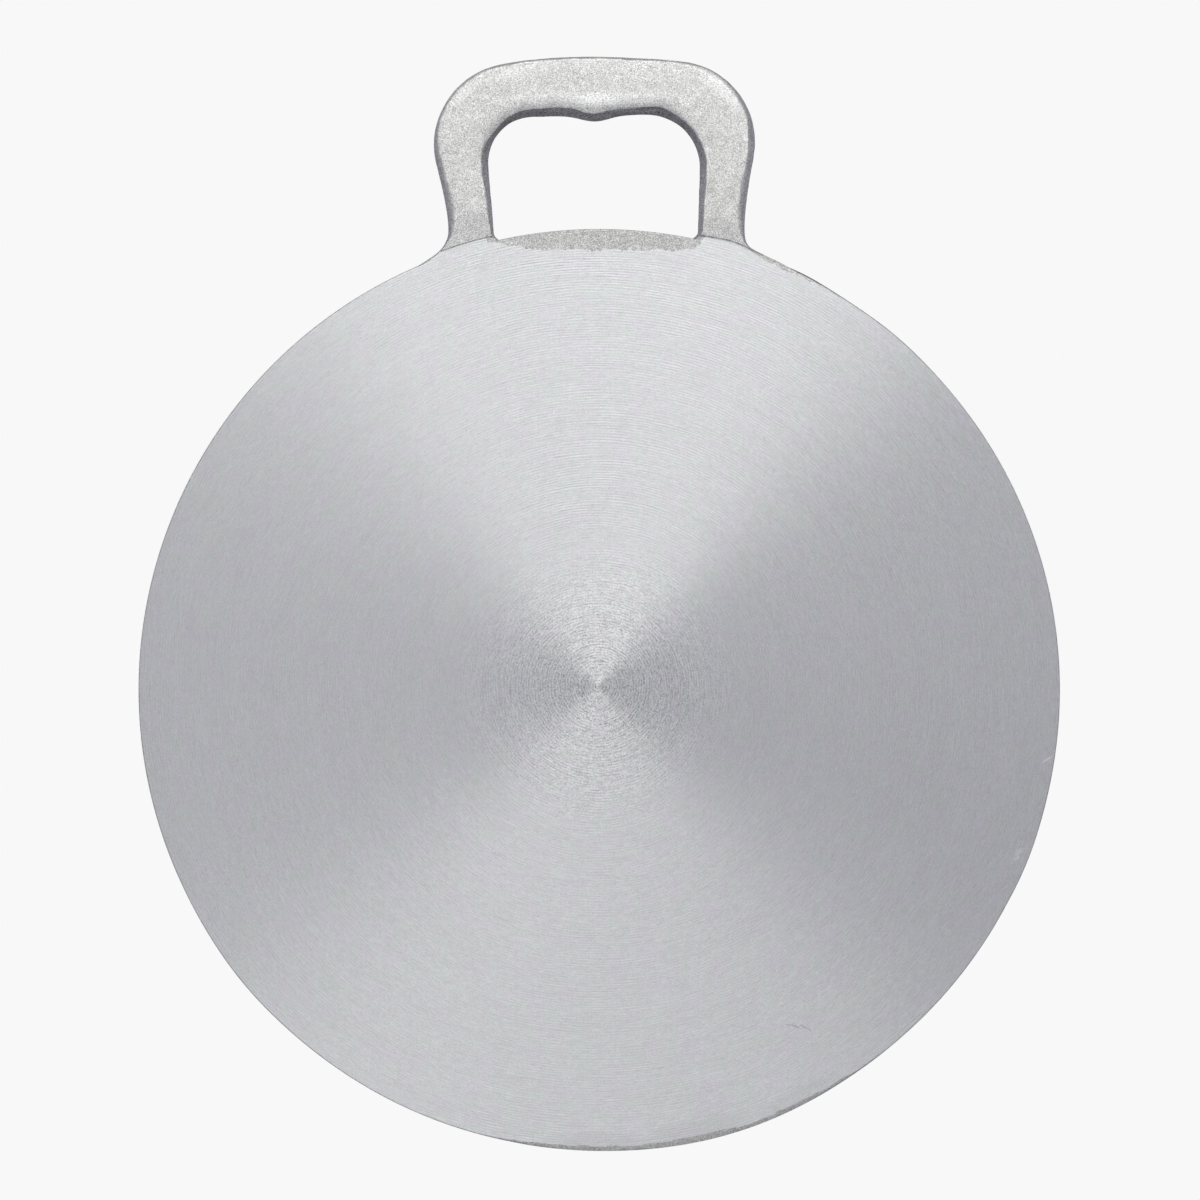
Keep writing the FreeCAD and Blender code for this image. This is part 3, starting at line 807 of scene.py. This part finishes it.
def kept(tree, mask, share):
    """1 where a mask is 0, and only the share where the mask is full."""
    return remapped(tree, mask, 0.0, 1.0, 1.0, share)


def cell_values(tree, vector):
    """A random number from 0 to 1 for each cell of a Voronoi pattern on a vector."""
    cells = add_node(tree, "ShaderNodeTexVoronoi", {"Vector": vector, "Scale": 1.0}, feature="F1")
    return add_node(tree, "ShaderNodeSeparateColor", {"Color": cells.outputs["Color"]}).outputs["Red"]


def noise(tree, vector, scale, detail=2.0, roughness=0.5):
    """Soft noise from 0 to 1 on a vector."""
    inputs = {"Vector": vector, "Scale": scale, "Detail": detail, "Roughness": roughness}
    return add_node(tree, "ShaderNodeTexNoise", inputs).outputs["Fac"]


def new_group(name, inputs, outputs):
    """A node group with named sockets. Each input has a kind and a first value, each output a kind."""
    group = bpy.data.node_groups.new(name, "ShaderNodeTree")
    for label, (kind, value) in inputs.items():
        socket = group.interface.new_socket(label, in_out="INPUT", socket_type=kind)
        socket.default_value = value
    for label, kind in outputs.items():
        group.interface.new_socket(label, in_out="OUTPUT", socket_type=kind)
    print(f"group {name} takes {', '.join(inputs)} and gives {', '.join(outputs)}")
    return group, group.nodes.new("NodeGroupInput").outputs, group.nodes.new("NodeGroupOutput").inputs


NUMBER = "NodeSocketFloat"
VECTOR = "NodeSocketVector"
COLOUR = "NodeSocketColor"
NOWHERE = (0.0, 0.0, 0.0)

# %% [markdown]
# Cast skin is the print of sand grains, filled with metal. Seen close it is a field of tiny facets, each
# as bright as its own tilt makes it, and seen from afar it is a soft, faintly blotched grey. Soft noise
# alone would look like fog, so each grain is a cell of a Voronoi pattern with its own random value. The
# group gives the height of the grain for a bump, the cell's value, and slow blotches. Both finishes use
# it, because the pores of the casting also show a little on the turned face.

# %% Group: sand-cast grain
BLOTCH_SPAN = (0.3, 0.7)

grain, g_in, g_out = new_group(
    "sand_cast_grain",
    {"Position": (VECTOR, NOWHERE), "Speck Size": (NUMBER, 0.0004)},
    {"Height": NUMBER, "Specks": NUMBER, "Blotches": NUMBER},
)
in_specks = scaled(grain, g_in["Position"], sum_of(grain, "DIVIDE", 1.0, g_in["Speck Size"]))
grain.links.new(signed(grain, cell_values(grain, in_specks)), g_out["Specks"])
grain.links.new(noise(grain, in_specks, scale=0.6, detail=2.0, roughness=0.6), g_out["Height"])
blotches = noise(grain, in_specks, scale=0.07, detail=3.0, roughness=0.6)
grain.links.new(signed(grain, blotches, BLOTCH_SPAN), g_out["Blotches"])

# %% [markdown]
# Turning marks are rings round the middle of the plate. The cutter moved outwards by about a millimetre
# a turn, and a little slower the further it went, so its ridges are a wave of the distance whose pitch
# slowly shrinks: the turns made so far are the logarithm of the distance times the growth over the first
# pitch, plus one, over the growth. A bare wave would look like a record, so it wanders and comes and goes.
# Between the ridges lie short fine scratches: Voronoi cells, read at the place over the scratch's length
# and at the distance over its width, so that each scratch lies along its ring and has a brightness of its
# own. Broader rings, soft and long, are noise read in the same way.

# %% Group: turning marks
WANDER_TURNS = 1.7
SHOWING_SPAN = (0.32, 0.68)
LEAST_SHOWING = 0.15
RING_SPAN = (0.3, 0.7)

marks, m_in, m_out = new_group(
    "turning_marks",
    {"Position": (VECTOR, NOWHERE), "Pitch": (NUMBER, 0.00105), "Pitch Growth": (NUMBER, -0.0002),
     "Scratch Length": (NUMBER, 0.0021), "Scratch Width": (NUMBER, 0.0002)},
    {"Ridges": NUMBER, "Scratches": NUMBER, "Rings": NUMBER},
)
flat = vector_of(marks, "MULTIPLY", m_in["Position"], (1.0, 1.0, 0.0))
away = vector_of(marks, "LENGTH", flat)


def along_rings(length, width):
    """The place over a length plus, upwards, the distance from the middle over a width."""
    lifted = add_node(marks, "ShaderNodeCombineXYZ", {"Z": sum_of(marks, "DIVIDE", away, width)}).outputs[0]
    along = scaled(marks, flat, sum_of(marks, "DIVIDE", 1.0, length))
    return vector_of(marks, "ADD", along, lifted)


def ring_noise(length, width, detail):
    """Soft noise whose patches are as long as length along the rings and as wide as width across them."""
    return noise(marks, along_rings(length, width), scale=1.0, detail=detail)


growth = sum_of(marks, "DIVIDE", m_in["Pitch Growth"], m_in["Pitch"])
grown = sum_of(marks, "MULTIPLY_ADD", away, growth, 1.0)
turns = sum_of(marks, "DIVIDE", sum_of(marks, "LOGARITHM", grown, math.e), m_in["Pitch Growth"])
wander = ring_noise(length=0.035, width=0.007, detail=2.0)
wandering = sum_of(marks, "MULTIPLY_ADD", wander, WANDER_TURNS, turns)
wave = sum_of(marks, "SINE", product(marks, wandering, math.tau))
patches = ring_noise(length=0.012, width=0.003, detail=1.0)
showing = remapped(marks, patches, *SHOWING_SPAN, LEAST_SHOWING, 1.0)
marks.links.new(product(marks, wave, showing), m_out["Ridges"])
in_scratches = along_rings(m_in["Scratch Length"], m_in["Scratch Width"])
marks.links.new(signed(marks, cell_values(marks, in_scratches)), m_out["Scratches"])
broad_rings = ring_noise(length=0.08, width=0.0045, detail=3.0)
marks.links.new(signed(marks, broad_rings, RING_SPAN), m_out["Rings"])

# %% [markdown]
# A used griddle has small marks: a scuff, a scratch, a rubbed spot. They are all one shape, a soft
# ellipse lying at an angle, so one group makes the mask and each mark gives it a place and a size.
# Its border runs from half of the ellipse out to its edge. The same ellipse also places the painted
# highlights and the painted shade line on the handle.

# %% Group: an ellipse for a handling mark or a painted highlight
ELLIPSE_BORDER = (0.5, 1.0)

mark, k_in, k_out = new_group(
    "mark_or_painted_highlight",
    {"Position": (VECTOR, NOWHERE), "Place": (VECTOR, NOWHERE), "Turn": (NUMBER, 0.0),
     "Half Length": (NUMBER, 0.003), "Half Width": (NUMBER, 0.001)},
    {"Mask": NUMBER},
)
beside = vector_of(mark, "SUBTRACT", k_in["Position"], k_in["Place"])
turn_back = {"Vector": beside, "Angle": product(mark, k_in["Turn"], -1.0)}
unturned = add_node(mark, "ShaderNodeVectorRotate", turn_back, rotation_type="Z_AXIS").outputs[0]
half_sizes = {"X": k_in["Half Length"], "Y": k_in["Half Width"], "Z": 1.0}
half_size = add_node(mark, "ShaderNodeCombineXYZ", half_sizes).outputs[0]
in_ellipse = vector_of(mark, "LENGTH", vector_of(mark, "DIVIDE", unturned, half_size))
mark.links.new(falling(mark, in_ellipse, ELLIPSE_BORDER), k_out["Mask"])

# %% [markdown]
# The metal also has a faint uneven tint, a little towards violet here and towards green there. One noise
# leans the three colours by different shares, so the brightness hardly changes.

# %% Group: an uneven tint
VIOLET_SPAN = (0.35, 0.65)
VIOLET_SHARES = {"Red": 0.5, "Green": -0.6, "Blue": 0.7}

tinting, t_in, t_out = new_group(
    "uneven_tint",
    {"Position": (VECTOR, NOWHERE), "Patch Size": (NUMBER, 0.006), "Strength": (NUMBER, 0.02)},
    {"Tint": COLOUR},
)
in_patches = scaled(tinting, t_in["Position"], sum_of(tinting, "DIVIDE", 1.0, t_in["Patch Size"]))
violet = signed(tinting, noise(tinting, in_patches, scale=1.0, detail=1.0), VIOLET_SPAN)
violet = product(tinting, violet, t_in["Strength"])
leaned = {
    colour: sum_of(tinting, "MULTIPLY_ADD", violet, share, 1.0) for colour, share in VIOLET_SHARES.items()
}
tint = add_node(tinting, "ShaderNodeCombineColor", leaned, mode="RGB")
tinting.links.new(tint.outputs[0], t_out["Tint"])

# %% [markdown]
# Both finishes start alike: the place on the piece in metres, and a metal shader joined to the output.

# %% A new finish
def bare_tree(owner):
    """The node tree of a material or a world, with nothing in it yet."""
    owner.use_nodes = True
    owner.node_tree.nodes.clear()
    return owner.node_tree


def new_finish(name):
    """A material with a metal shader, its node tree, the shader and the place on the piece."""
    finish = bpy.data.materials.new(name)
    tree = bare_tree(finish)
    shader = add_node(tree, "ShaderNodeBsdfPrincipled", {"Metallic": 1.0})
    output = tree.nodes.new("ShaderNodeOutputMaterial")
    tree.links.new(shader.outputs["BSDF"], output.inputs["Surface"])
    return finish, tree, shader, tree.nodes.new("ShaderNodeTexCoord").outputs["Object"]


def from_group(tree, group, **inputs):
    """A group placed in a material, with its inputs given by name."""
    named = {name.replace("_", " "): value for name, value in inputs.items()}
    return add_node(tree, "ShaderNodeGroup", named, node_tree=group)


# %% [markdown]
# The turned finish reads the marks as a bump, as a change of tone and as a change of gloss. The scratches,
# the ridges and the open pores of the casting are strongest near the middle, where the cutter ran slowest
# and tore the metal. A second set of marks, long and narrow, gives the faint drawn lines between the
# ridges. Each line of the table is something that changes the tone: its share far out on the plate, and how
# much larger that share is at the middle. The shader is told that the metal is rougher across the marks
# than along them, with the outward direction as its tangent. That one setting makes the fans of light.

# %% Finish: turned aluminium
CUT_ANISOTROPY = 0.85
MIDDLE_BORDER = (0.006, 0.055)

turned, tree, metal, place = new_finish("turned_aluminium")
metal.inputs["Anisotropic"].default_value = CUT_ANISOTROPY
to_centre = (*(-turning_centre * MM), 0.0)
centred = add_node(tree, "ShaderNodeMapping", {"Vector": place, "Location": to_centre}).outputs[0]
outward = vector_of(tree, "NORMALIZE", vector_of(tree, "MULTIPLY", centred, (1.0, 1.0, 0.0)))
distance = vector_of(tree, "LENGTH", centred)
tree.links.new(outward, metal.inputs["Tangent"])

turning = from_group(tree, marks, Position=centred)
drawn = from_group(tree, marks, Position=centred, Scratch_Length=0.008, Scratch_Width=0.00034)
pores = from_group(tree, grain, Position=place, Speck_Size=0.0002)
near_middle = falling(tree, distance, MIDDLE_BORDER)
TONE_SHARES = (
    (turning.outputs["Scratches"], 0.07, 0.19),
    (drawn.outputs["Scratches"], 0.02, 0.0),
    (pores.outputs["Specks"], 0.12, 0.55),
    (turning.outputs["Ridges"], 0.03, 0.17),
    (turning.outputs["Rings"], 0.012, 0.0),
)
tone = 1.0
for change, far_share, middle_share in TONE_SHARES:
    share = sum_of(tree, "MULTIPLY_ADD", near_middle, middle_share, far_share)
    tone = sum_of(tree, "MULTIPLY_ADD", change, share, tone)
print(f"the turned tone has {len(TONE_SHARES)} changes in it")

# %% [markdown]
# The handling marks follow the photograph: two dark scuffs low on the plate, made of short strokes, three
# faint dark patches along the lower rim, two pale rubs and a scratch near the right edge, and two faint
# scratches beside the middle. Each line below is a place in millimetres, an angle in degrees, a half
# length, a half width, and how much it lightens or darkens the metal. The grain breaks each mark up.

# %% Handling marks on the turned face
HANDLING_MARKS = (
    ((51.6, -127.7), -14.0, 2.6, 0.35, -0.12),
    ((55.2, -128.4), -6.0, 2.4, 0.3, -0.1),
    ((72.4, -127.3), -6.0, 2.4, 0.35, -0.16),
    ((74.8, -128.0), -22.0, 2.2, 0.5, -0.2),
    ((77.6, -128.0), -30.0, 1.9, 0.55, -0.2),
    ((79.6, -128.9), -34.0, 1.7, 0.45, -0.16),
    ((0.0, -172.5), 0.0, 26.0, 5.4, -0.06),
    ((38.0, -167.6), 12.7, 24.0, 6.0, -0.07),
    ((76.0, -154.0), 26.0, 20.0, 4.6, -0.04),
    ((158.4, -64.0), 22.0, 1.7, 0.6, 0.22),
    ((159.3, -61.6), 36.0, 2.8, 1.2, 0.16),
    ((170.2, -26.4), 32.0, 3.6, 0.42, 0.34),
    ((26.1, 19.4), 8.0, 5.2, 0.3, 0.12),
    ((36.0, 27.2), 2.0, 2.4, 0.3, 0.1),
)
BREAK_UP_SHARE = 0.5


def marked(tree, place, level, tone, grain_value, marks_there):
    """The tone with each mark's change added where its ellipse lies, broken up by the grain's value."""
    broken = sum_of(tree, "MULTIPLY_ADD", grain_value, BREAK_UP_SHARE, 1.0)
    for (across, along), turn, half_length, half_width, change in marks_there:
        spot = from_group(
            tree, mark, Position=place, Place=(across * MM, along * MM, level * MM),
            Turn=math.radians(turn), Half_Length=half_length * MM, Half_Width=half_width * MM,
        )
        patchy = product(tree, spot.outputs["Mask"], broken)
        tone = sum_of(tree, "MULTIPLY_ADD", patchy, change, tone)
    return tone


tone = marked(tree, place, face_level, tone, turning.outputs["Scratches"], HANDLING_MARKS)
print(f"{len(HANDLING_MARKS)} handling marks on the turned face")

# %% [markdown]
# The tone, the tint and the metal's own colour are multiplied into the base colour. The scratches also make
# the gloss uneven, and the ridges are a bump about two hundredths of a millimetre high, with the drawn
# lines at a share of that. The normal leans outwards a little, most at the middle, which stands for the
# lopsided cut of the tool.

# %% Colour, gloss and relief of the turned finish
TURNED_TINT = (0.757, 0.764, 0.764)
TURNED_ROUGHNESS = 0.42
ROUGHNESS_CHANGE = 0.02
LEAN_AT_MIDDLE = 0.06
LEAN_AT_RIM = 0.015
LEAN_REACH = (0.0, 0.17)
DRAWN_RELIEF_SHARE = 0.35
RIDGE_HEIGHT = 0.000017

tinted = from_group(tree, tinting, Position=place, Patch_Size=0.006, Strength=0.02)
coloured = vector_of(tree, "MULTIPLY", tinted.outputs["Tint"], TURNED_TINT)
tree.links.new(scaled(tree, coloured, tone), metal.inputs["Base Color"])
rough = sum_of(tree, "MULTIPLY_ADD", turning.outputs["Scratches"], ROUGHNESS_CHANGE, TURNED_ROUGHNESS)
tree.links.new(rough, metal.inputs["Roughness"])
lean = remapped(tree, distance, *LEAN_REACH, LEAN_AT_MIDDLE, LEAN_AT_RIM)
normal = tree.nodes.new("ShaderNodeNewGeometry").outputs["Normal"]
leaning = vector_of(tree, "NORMALIZE", vector_of(tree, "ADD", normal, scaled(tree, outward, lean)))
ridges = turning.outputs["Ridges"]
relief = sum_of(tree, "MULTIPLY_ADD", drawn.outputs["Scratches"], DRAWN_RELIEF_SHARE, ridges)
cut_inputs = {"Strength": 1.0, "Distance": RIDGE_HEIGHT, "Height": relief, "Normal": leaning}
cut = add_node(tree, "ShaderNodeBump", cut_inputs)
tree.links.new(cut.outputs["Normal"], metal.inputs["Normal"])
print(f"{turned.name} has {len(tree.nodes)} nodes")

# %% [markdown]
# The cast finish covers the handle, the rim, the crescent and the underside. It is paler than the
# turned metal, since its grain scatters the light, and it is rough in every direction alike. Some of it is
# painted darker: painted shade on the steep wall under the bar, inside the window, and painted shade on
# the steep rim wall right of the handle, where little light falls. The skin that lies as low as the turned
# face is a little darker too. Each of these is a mask, and each mask keeps a share of the tone.

# %% Where the cast skin is darker
STEEP_BORDER = (0.35, 0.75)
WINDOW_BORDER = (0.0465, 0.0485)
# the painted shade under the bar: where it starts and stops, and the share of the tone it keeps
UNDER_BAR_SHADE_START = (0.192, 0.214)
UNDER_BAR_SHADE_END = (0.2235, 0.2245)
UNDER_BAR_SHADE_SHARE = 0.6
# painted shade on the steep rim wall right of the handle, where little light falls: its borders and the share
# it keeps
RIGHT_BORDER = (0.06, 0.068)
FAR_BORDER = (0.1, 0.13)
RIGHT_RIM_SHADE_SHARE = 0.44
LOW_BORDER = (0.00905, 0.0094)
LOW_SHARE = 0.79

cast, tree, metal, place = new_finish("cast_aluminium")
across, along, up = add_node(tree, "ShaderNodeSeparateXYZ", {0: place}).outputs
normal = tree.nodes.new("ShaderNodeNewGeometry").outputs["Normal"]
facing_up = add_node(tree, "ShaderNodeSeparateXYZ", {0: normal}).outputs["Z"]
steep = falling(tree, facing_up, STEEP_BORDER)
from_middle = sum_of(tree, "ABSOLUTE", sum_of(tree, "SUBTRACT", across, handle_middle * MM))
in_window = falling(tree, from_middle, WINDOW_BORDER)
under_bar = product(tree, rising(tree, along, UNDER_BAR_SHADE_START), falling(tree, along, UNDER_BAR_SHADE_END))
# painted shade on the steep wall under the bar, inside the window
shade_under_bar = product(tree, steep, product(tree, in_window, under_bar))
# painted shade on the steep rim wall right of the handle
right_rim = product(tree, rising(tree, across, RIGHT_BORDER), rising(tree, along, FAR_BORDER))
shade_under_bar_tone = kept(tree, shade_under_bar, UNDER_BAR_SHADE_SHARE)
right_rim_shade_tone = kept(tree, product(tree, steep, right_rim), RIGHT_RIM_SHADE_SHARE)
lying_low = sum_of(tree, "SUBTRACT", falling(tree, up, LOW_BORDER), steep)
low_tone = kept(tree, lying_low, LOW_SHARE)
# the two shares printed here belong to the painted shade under the bar and on the rim right of the handle
print(f"the soot keeps {UNDER_BAR_SHADE_SHARE:.0%} of the tone, and the unwiped rim {RIGHT_RIM_SHADE_SHARE:.0%}")

# %% [markdown]
# The sand grains show most on the steep walls, where nothing rubs them down, and less on the face. Slow
# blotches lie over all of it. The marks on the handle are listed as the handling marks are: painted
# highlights along the bar, on the corners and down the right leg, a darker stain beside that, and a thin
# painted highlight and a thin painted shade along the lip. The walls have a tint of their own, a little bluer
# than the face.

# %% Finish: cast aluminium
FACE_SPECK_SHARE = 0.44
BLOTCH_SHARE = 0.08
# painted highlights, a painted highlight and a painted shade line along the lip, and one real stain at (42.6,
# 192.0)
HANDLE_HIGHLIGHTS_SHADE_AND_STAIN = (
    ((0.0, 223.6), 0.0, 31.0, 3.2, 0.14),
    ((-2.0, 223.0), 0.0, 13.0, 2.6, 0.1),
    ((-29.5, 234.6), 14.0, 13.0, 2.4, 0.12),
    ((-51.0, 226.2), 42.0, 11.0, 2.2, 0.18),
    ((46.4, 226.6), -38.0, 13.5, 2.4, 0.24),
    ((56.2, 209.0), -72.0, 8.0, 2.0, 0.14),
    ((42.6, 192.0), 84.0, 7.0, 2.2, -0.1),
    ((13.8, 219.9), 1.0, 11.0, 0.35, 0.3),
    ((13.8, 220.7), 1.0, 11.0, 0.3, -0.22),
)
CAST_TINT = (0.718, 0.721, 0.695)
WALL_TINT = (0.74, 0.738, 0.75)
CAST_ROUGHNESS = 0.55
CAST_ROUGHNESS_CHANGE = -0.05
GRAIN_HEIGHT = 0.0001

sand = from_group(tree, grain, Position=place, Speck_Size=0.00022)
specks = sand.outputs["Specks"]
speck_share = remapped(tree, steep, 0.0, 1.0, FACE_SPECK_SHARE, 1.0)
tone = sum_of(tree, "MULTIPLY_ADD", specks, speck_share, 1.0)
tone = sum_of(tree, "MULTIPLY_ADD", sand.outputs["Blotches"], BLOTCH_SHARE, tone)
# the painted highlights, the painted shade along the lip and the stain on the handle
tone = marked(tree, place, handle_top, tone, specks, HANDLE_HIGHLIGHTS_SHADE_AND_STAIN)
# the two painted shades and the darker low skin multiply the tone
for darker_tone in (shade_under_bar_tone, right_rim_shade_tone, low_tone):
    tone = product(tree, tone, darker_tone)
tints = {0: steep, 6: (*CAST_TINT, 1.0), 7: (*WALL_TINT, 1.0)}
skin_tint = add_node(tree, "ShaderNodeMix", tints, data_type="RGBA").outputs[2]
tree.links.new(scaled(tree, skin_tint, tone), metal.inputs["Base Color"])
rough = sum_of(tree, "MULTIPLY_ADD", specks, CAST_ROUGHNESS_CHANGE, CAST_ROUGHNESS)
tree.links.new(rough, metal.inputs["Roughness"])
sanded_inputs = {"Strength": 1.0, "Distance": GRAIN_HEIGHT, "Height": sand.outputs["Height"]}
sanded = add_node(tree, "ShaderNodeBump", sanded_inputs)
tree.links.new(sanded.outputs["Normal"], metal.inputs["Normal"])
print(f"{cast.name} has {len(tree.nodes)} nodes")

# %% [markdown]
# The plate carries both finishes. Its faces on the skin, with the wall and the underside, take the cast
# one, and the rest of the face takes the turned one.

# %% The finishes on the pieces
plate.data.materials.append(turned)
plate.data.materials.append(cast)
handle.data.materials.append(cast)
after = np.roll(skin, -1, axis=1)
on_skin = (skin[:-1] + skin[1:] + after[:-1] + after[1:]) / 4 > 0.0
fans = [np.zeros(len(degrees), bool), np.ones(len(degrees), bool)]
cast_faces = np.concatenate([on_skin.ravel(), *fans]).astype(np.int32)
plate.data.polygons.foreach_set("material_index", cast_faces)
print(f"{cast_faces.sum()} of {len(cast_faces)} faces of the plate keep the cast skin")

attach(plate, "root")
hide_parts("plate")
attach(handle, "root")
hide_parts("handle")

# %% [markdown]
# The stage is a pale floor that looks white to the camera and grey to the metal. A real white table
# would fill every wall of the handle with light, and then its sides could not look dark. The Light Path
# node tells camera rays from the rest.

# %% The floor
FLOOR_WHITE = 0.9387
FLOOR_PAINT = (0.4, 0.4, 0.425, 1.0)
HALF_FLOOR = 3.0


def by_ray(tree, for_others, for_camera):
    """One shader for the camera's own rays and another for all other rays."""
    ray = tree.nodes.new("ShaderNodeLightPath").outputs["Is Camera Ray"]
    shaders = {0: ray, 1: for_others.outputs[0], 2: for_camera.outputs[0]}
    return add_node(tree, "ShaderNodeMixShader", shaders).outputs[0]


SQUARE = ((-1, -1), (1, -1), (1, 1), (-1, 1))
floor_mesh = bpy.data.meshes.new("floor")
floor_mesh.from_pydata([(x * HALF_FLOOR, y * HALF_FLOOR, 0.0) for x, y in SQUARE], [], [(0, 1, 2, 3)])
floor = in_scene("floor", floor_mesh)
pale = bpy.data.materials.new("pale_floor")
tree = bare_tree(pale)
paint = add_node(tree, "ShaderNodeBsdfDiffuse", {"Color": FLOOR_PAINT})
seen_white = add_node(tree, "ShaderNodeEmission", {"Color": (1.0, 1.0, 1.0, 1.0), "Strength": FLOOR_WHITE})
add_node(tree, "ShaderNodeOutputMaterial", {"Surface": by_ray(tree, paint, seen_white)})
floor.data.materials.append(pale)
print(f"the floor is {2 * HALF_FLOOR:.0f} m wide")

# %% [markdown]
# Four softboxes hang over the table: a large one past the handle, a long narrow one past the lower rim, and
# one more on each side. The fans on the plate are the softboxes seen across the turning marks. Each is
# given as its place, its width and length, its turn in degrees and how bright it looks.

# %% The lights
LIGHT_HEIGHT = 1.15
SOFTBOX_TINT = (1.0, 1.005, 0.975)
SOFTBOXES = {
    "top_softbox": (0.125, 1.413, 1.776, 1.322, -16.3, 2.54),
    "bottom_softbox": (-0.261, -0.773, 1.632, 0.2, 8.0, 1.72),
    "left_softbox": (-0.325, 0.289, 0.316, 1.32, 16.0, 1.24),
    "right_softbox": (0.914, 0.399, 0.286, 1.35, -42.4, 0.41),
}


def softbox(name, across, along, width, length, turn, radiance):
    """A rectangular lamp that faces down. Its power is its area times pi times how bright it looks."""
    lamp = bpy.data.lights.new(name, "AREA")
    lamp.shape = "RECTANGLE"
    lamp.size, lamp.size_y = width, length
    lamp.energy = radiance * math.pi * width * length
    lamp.color = SOFTBOX_TINT
    box = in_scene(name, lamp)
    box.location = (across, along, LIGHT_HEIGHT)
    box.rotation_euler = (0.0, 0.0, math.radians(turn))
    box.visible_camera = False
    print(f"{name}: {lamp.energy:.2f} W")


for name, measures in SOFTBOXES.items():
    softbox(name, *measures)

# %% [markdown]
# The room itself gives an even, weaker light, a little blue, and looks as white as the floor to the camera.

# %% The room
ROOM_LIGHT = 0.329
ROOM_TINT = np.array([1.0, 0.99, 1.12])

room = bpy.data.worlds.new("room")
bpy.context.scene.world = room
tree = bare_tree(room)
dim = add_node(tree, "ShaderNodeBackground", {"Color": (*(ROOM_LIGHT * ROOM_TINT), 1.0)})
backdrop = add_node(tree, "ShaderNodeBackground", {"Color": (FLOOR_WHITE, FLOOR_WHITE, FLOOR_WHITE, 1.0)})
add_node(tree, "ShaderNodeOutputWorld", {"Surface": by_ray(tree, dim, backdrop)})
print(f"the room has {ROOM_LIGHT / FLOOR_WHITE:.0%} of the floor's brightness")

# %% [markdown]
# The camera looks straight down, as the photograph was taken. Its height and lens come from how much of
# the handle's walls shows on each side.

# %% The camera
CAMERA_HEIGHT = 1.039
CAMERA_OVER = (0.0003, 0.034)
SENSOR_WIDTH = 36.0
FOCAL_LENGTH = 81.4

overhead = bpy.data.cameras.new("overhead")
overhead.sensor_width = SENSOR_WIDTH
overhead.lens = FOCAL_LENGTH
camera = in_scene("overhead", overhead)
camera.location = (*CAMERA_OVER, CAMERA_HEIGHT)
bpy.context.scene.camera = camera
bpy.context.scene.view_settings.view_transform = "Standard"
print(f"the camera sees {CAMERA_HEIGHT * SENSOR_WIDTH / FOCAL_LENGTH / MM:.0f} mm of the floor")
